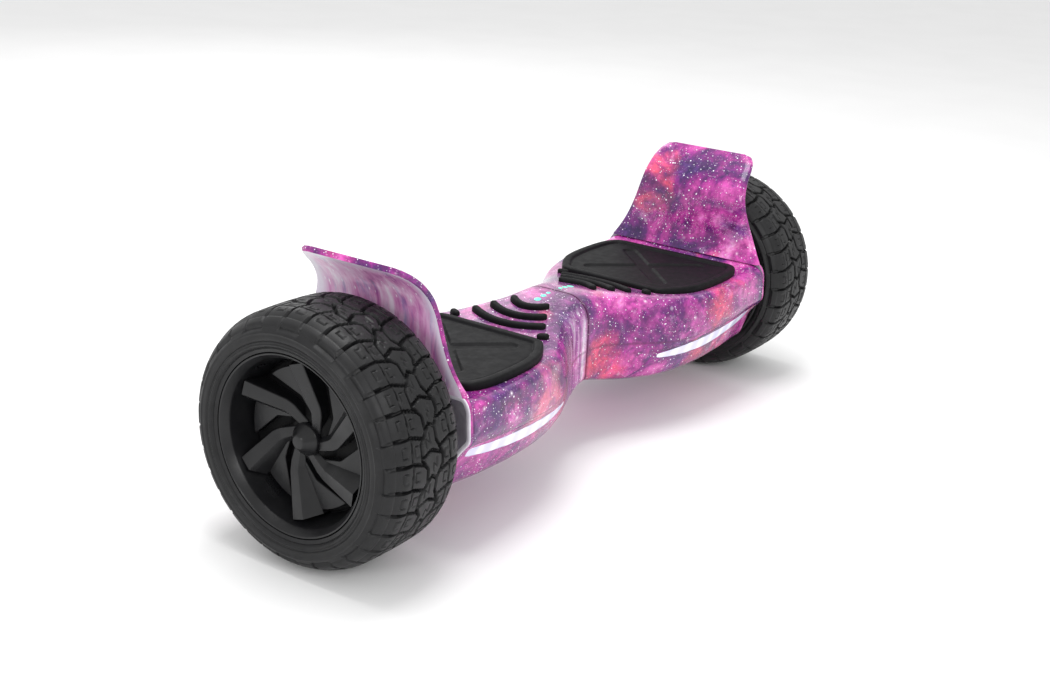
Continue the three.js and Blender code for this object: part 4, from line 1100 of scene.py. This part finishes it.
def trim(side):
    V, F, M = [], [], []

    def add(v, f, m):
        off = len(V)
        V.extend([tuple(q) for q in v])
        F.extend([tuple(i + off for i in q) for q in f])
        M.extend([m] * len(f))

    # back disc
    v, f = lathe(corner_round([(317.3, 3.4), (317.3, 60), (318.8, 60.6), (319.6, 59), (319.6, 24), (325.4, 17), (325.8, 13.5), (325.8, 3.4)], 0.7, 3), 96, closed=True)
    add(v, f, 1)
    for e in (31, 91, 151, 211, 271, 331):
        # fan plate on the trailing side of each spoke
        arc = [polar(e + t, 56.4) for t in np.linspace(2, 41, 16)]
        edge = [polar(e + 12, 33), polar(e - 13, 19.5)]
        back = [polar(e - 48, 13), polar(e - 24, 27)]
        ring = corner_round(np.array(arc + edge + back), 1.2, 3, closed=True)
        n = len(ring)
        vv = np.vstack([np.column_stack([np.full(n, 319.0), ring]), np.column_stack([np.full(n, 325.5), ring]), np.column_stack([np.full(n, 326.0), inset(ring, 0.5)])])
        ff = grid(3, n, wrap_v=True)
        ff.append(tuple(range(2 * n, 3 * n)))
        ff.append(tuple(reversed(range(n))))
        add(vv, ff, 0)
        # kinked spoke: a flat ridge facet and a facet falling to the plate
        line = [polar(e - 52, 11.5), polar(e - 27, 24.6), polar(e - 24, 27.2), polar(e - 21, 30.2), polar(e, 62.2)]
        facet = [3.2, 4.3, 4.5, 4.7, 6.0]
        fall = [5.4, 8.0, 8.6, 9.2, 15.4]
        top = [327.6, 329.6, 330.0, 330.9, 339.0]
        rings = []
        for i, q in enumerate(line):
            a = line[max(0, i - 1)]
            c = line[min(len(line) - 1, i + 1)]
            t = (c - a) / np.linalg.norm(c - a)
            nn = np.array([-t[1], t[0]])
            w, v, h = facet[i], fall[i], top[i]
            sec = [(-w, 319.2), (-w, h - 1.3), (-w + 0.5, h - 0.6), (w - 0.7, h + 0.35), (w - 0.1, h + 0.35), (w + 0.5, h - 0.1), (v, 326.1), (v, 319.2)]
            rings.append([(d, q[0] + nn[0] * k, q[1] + nn[1] * k) for k, d in sec])
        m = len(rings[0])
        vv = [q for r in rings for q in r]
        ff = grid(len(rings), m, wrap_v=True)
        ff.append(tuple(range(m)))
        ff.append(tuple(reversed(range((len(rings) - 1) * m, len(rings) * m))))
        add(vv, ff, 0)
    o = make(f"{side}_spoke_trim", place(V, side), F, [MAT["alloy"], MAT["recess"]], index=M, sharp=24)
    return attach(o, f"{side}_wheel", "black_alloy", f"{side}_wheel_trim")


def nose(side):
    prof = [(317.5, 0.02), (317.5, 3), (326.2, 3), (326.2, 13.3), (330, 12.6), (336.6, 6.4), (338, 5.0), (338, 0.02)]
    P = corner_round(prof, 0.9, 4)
    V, F = lathe(P, 64)
    o = make(f"{side}_hub_cone", place(V, side), F, [MAT["alloy"]], sharp=50)
    return attach(o, f"{side}_wheel", "black_alloy", f"{side}_hub_nose")


for side in ("left", "right"):
    foot_pad(side)
    grip_bars(side)
    indicator(side)
    guard(side)
    tyre(side)
    rim(side)
    trim(side)
    nose(side)

# ------------------------------------------------------------------ carried-over parts
BY_WORD = [
    ("led_bar", "led"), ("frame", "cast"), ("axle_clamp", "cast"), ("clamp_bolt", "steel"), ("motor_axle", "steel"), ("motor_stator", "copper"),
    ("wheel_bearing", "steel"), ("sensor_board", "board"), ("gyro_board", "board"), ("main_board", "board"), ("motor_cable", "cable"), ("link_cable", "cable"),
    ("button_ring", "steel"), ("power_button", "plastic"), ("pivot_tube", "steel"), ("twist_stop_pin", "steel"), ("pivot_circlip", "steel"),
    ("pivot_bush", "nylon"), ("battery_pack", "wrap"), ("charge_port_cap", "rubber"), ("charge_port", "plastic"),
    ("upper_cover", "print"), ("lower_cover", "print_low"), ("fender", "print_guard"), ("foot_pad", "rubber"), ("grip_bars", "rubber"),
    ("indicator_light", "mint"), ("headlight_lens", "lens"), ("wheel_rim", "alloy"), ("tyre", "tyre"), ("wheel_trim", "alloy"), ("hub_nose", "alloy"),
]
for name, o in NODES.items():
    for word, mat in BY_WORD:
        if word in name:
            for i in range(len(o.material_slots)):
                o.material_slots[i].material = MAT[mat]
            if not o.material_slots:
                o.data.materials.append(MAT[mat])
            break

# ------------------------------------------------------------------ stage
def floor():
    me = bpy.data.meshes.new("studio_floor")
    s = 9.0
    me.from_pydata([(-s, -s, 0), (s, -s, 0), (s, s, 0), (-s, s, 0)], [], [(0, 1, 2, 3)])
    b = Build("floor_paper")
    b.colour(b.ramp(b.noise(6, 3), [(0.3, (0.86, 0.86, 0.86)), (0.7, (0.88, 0.88, 0.88))]))
    b.set(Specular_IOR_Level=0.1)
    b.rough(b.ramp(b.noise(9, 3), [(0.3, 0.8), (0.7, 0.9)]))
    me.materials.append(b.m)
    o = bpy.data.objects.new("studio_floor", me)
    bpy.context.scene.collection.objects.link(o)
    o.location = (0, 0, -0.0004)
    return o


floor()


def area(name, loc, aim, size, power, colour=(1, 1, 1), size_y=None):
    l = bpy.data.lights.new(name, "AREA")
    l.energy = power
    l.color = colour
    l.size = size
    if size_y:
        l.shape = "RECTANGLE"
        l.size_y = size_y
    o = bpy.data.objects.new(name, l)
    bpy.context.scene.collection.objects.link(o)
    o.location = loc
    d = Vector(aim) - Vector(loc)
    o.rotation_mode = "QUATERNION"
    o.rotation_quaternion = d.to_track_quat("-Z", "Y")
    return o


area("top_soft", (0.0, 0.15, 1.9), (0, 0, 0.1), 1.2, 22, size_y=0.9)
area("key_soft", (-0.9, -1.9, 1.3), (0, 0, 0.1), 0.8, 12)
area("wheel_soft", (-2.2, -0.1, 0.9), (-0.3, 0, 0.1), 0.6, 9)
area("back_soft", (1.3, 1.7, 1.2), (0, 0, 0.1), 1.0, 5)

world = bpy.data.worlds.new("studio")
bpy.context.scene.world = world
world.use_nodes = True
bg = world.node_tree.nodes["Background"]
bg.inputs[0].default_value = (1, 1, 1, 1)
bg.inputs[1].default_value = 0.88

bpy.context.scene.view_settings.view_transform = "Standard"

# ------------------------------------------------------------------ camera
az, el, roll = -0.9799, 0.3428, 0.0537
back = Vector((math.sin(az) * math.cos(el), -math.cos(az) * math.cos(el), math.sin(el)))
right = Vector((math.cos(az), math.sin(az), 0))
up = back.cross(right)
c, s = math.cos(roll), math.sin(roll)
r2, u2 = right * c + up * s, up * c - right * s
cam = bpy.data.cameras.new("camera")
cam.lens = 50.98
cam.sensor_width = 36
cam.sensor_fit = "HORIZONTAL"
cam.clip_start, cam.clip_end = 0.02, 60
co = bpy.data.objects.new("camera", cam)
bpy.context.scene.collection.objects.link(co)
loc = Vector((-0.026945, 0.010487, 0.090835)) + back * 1.35392
co.matrix_world = Matrix(((r2.x, u2.x, back.x, loc.x), (r2.y, u2.y, back.y, loc.y), (r2.z, u2.z, back.z, loc.z), (0, 0, 0, 1)))
bpy.context.scene.camera = co
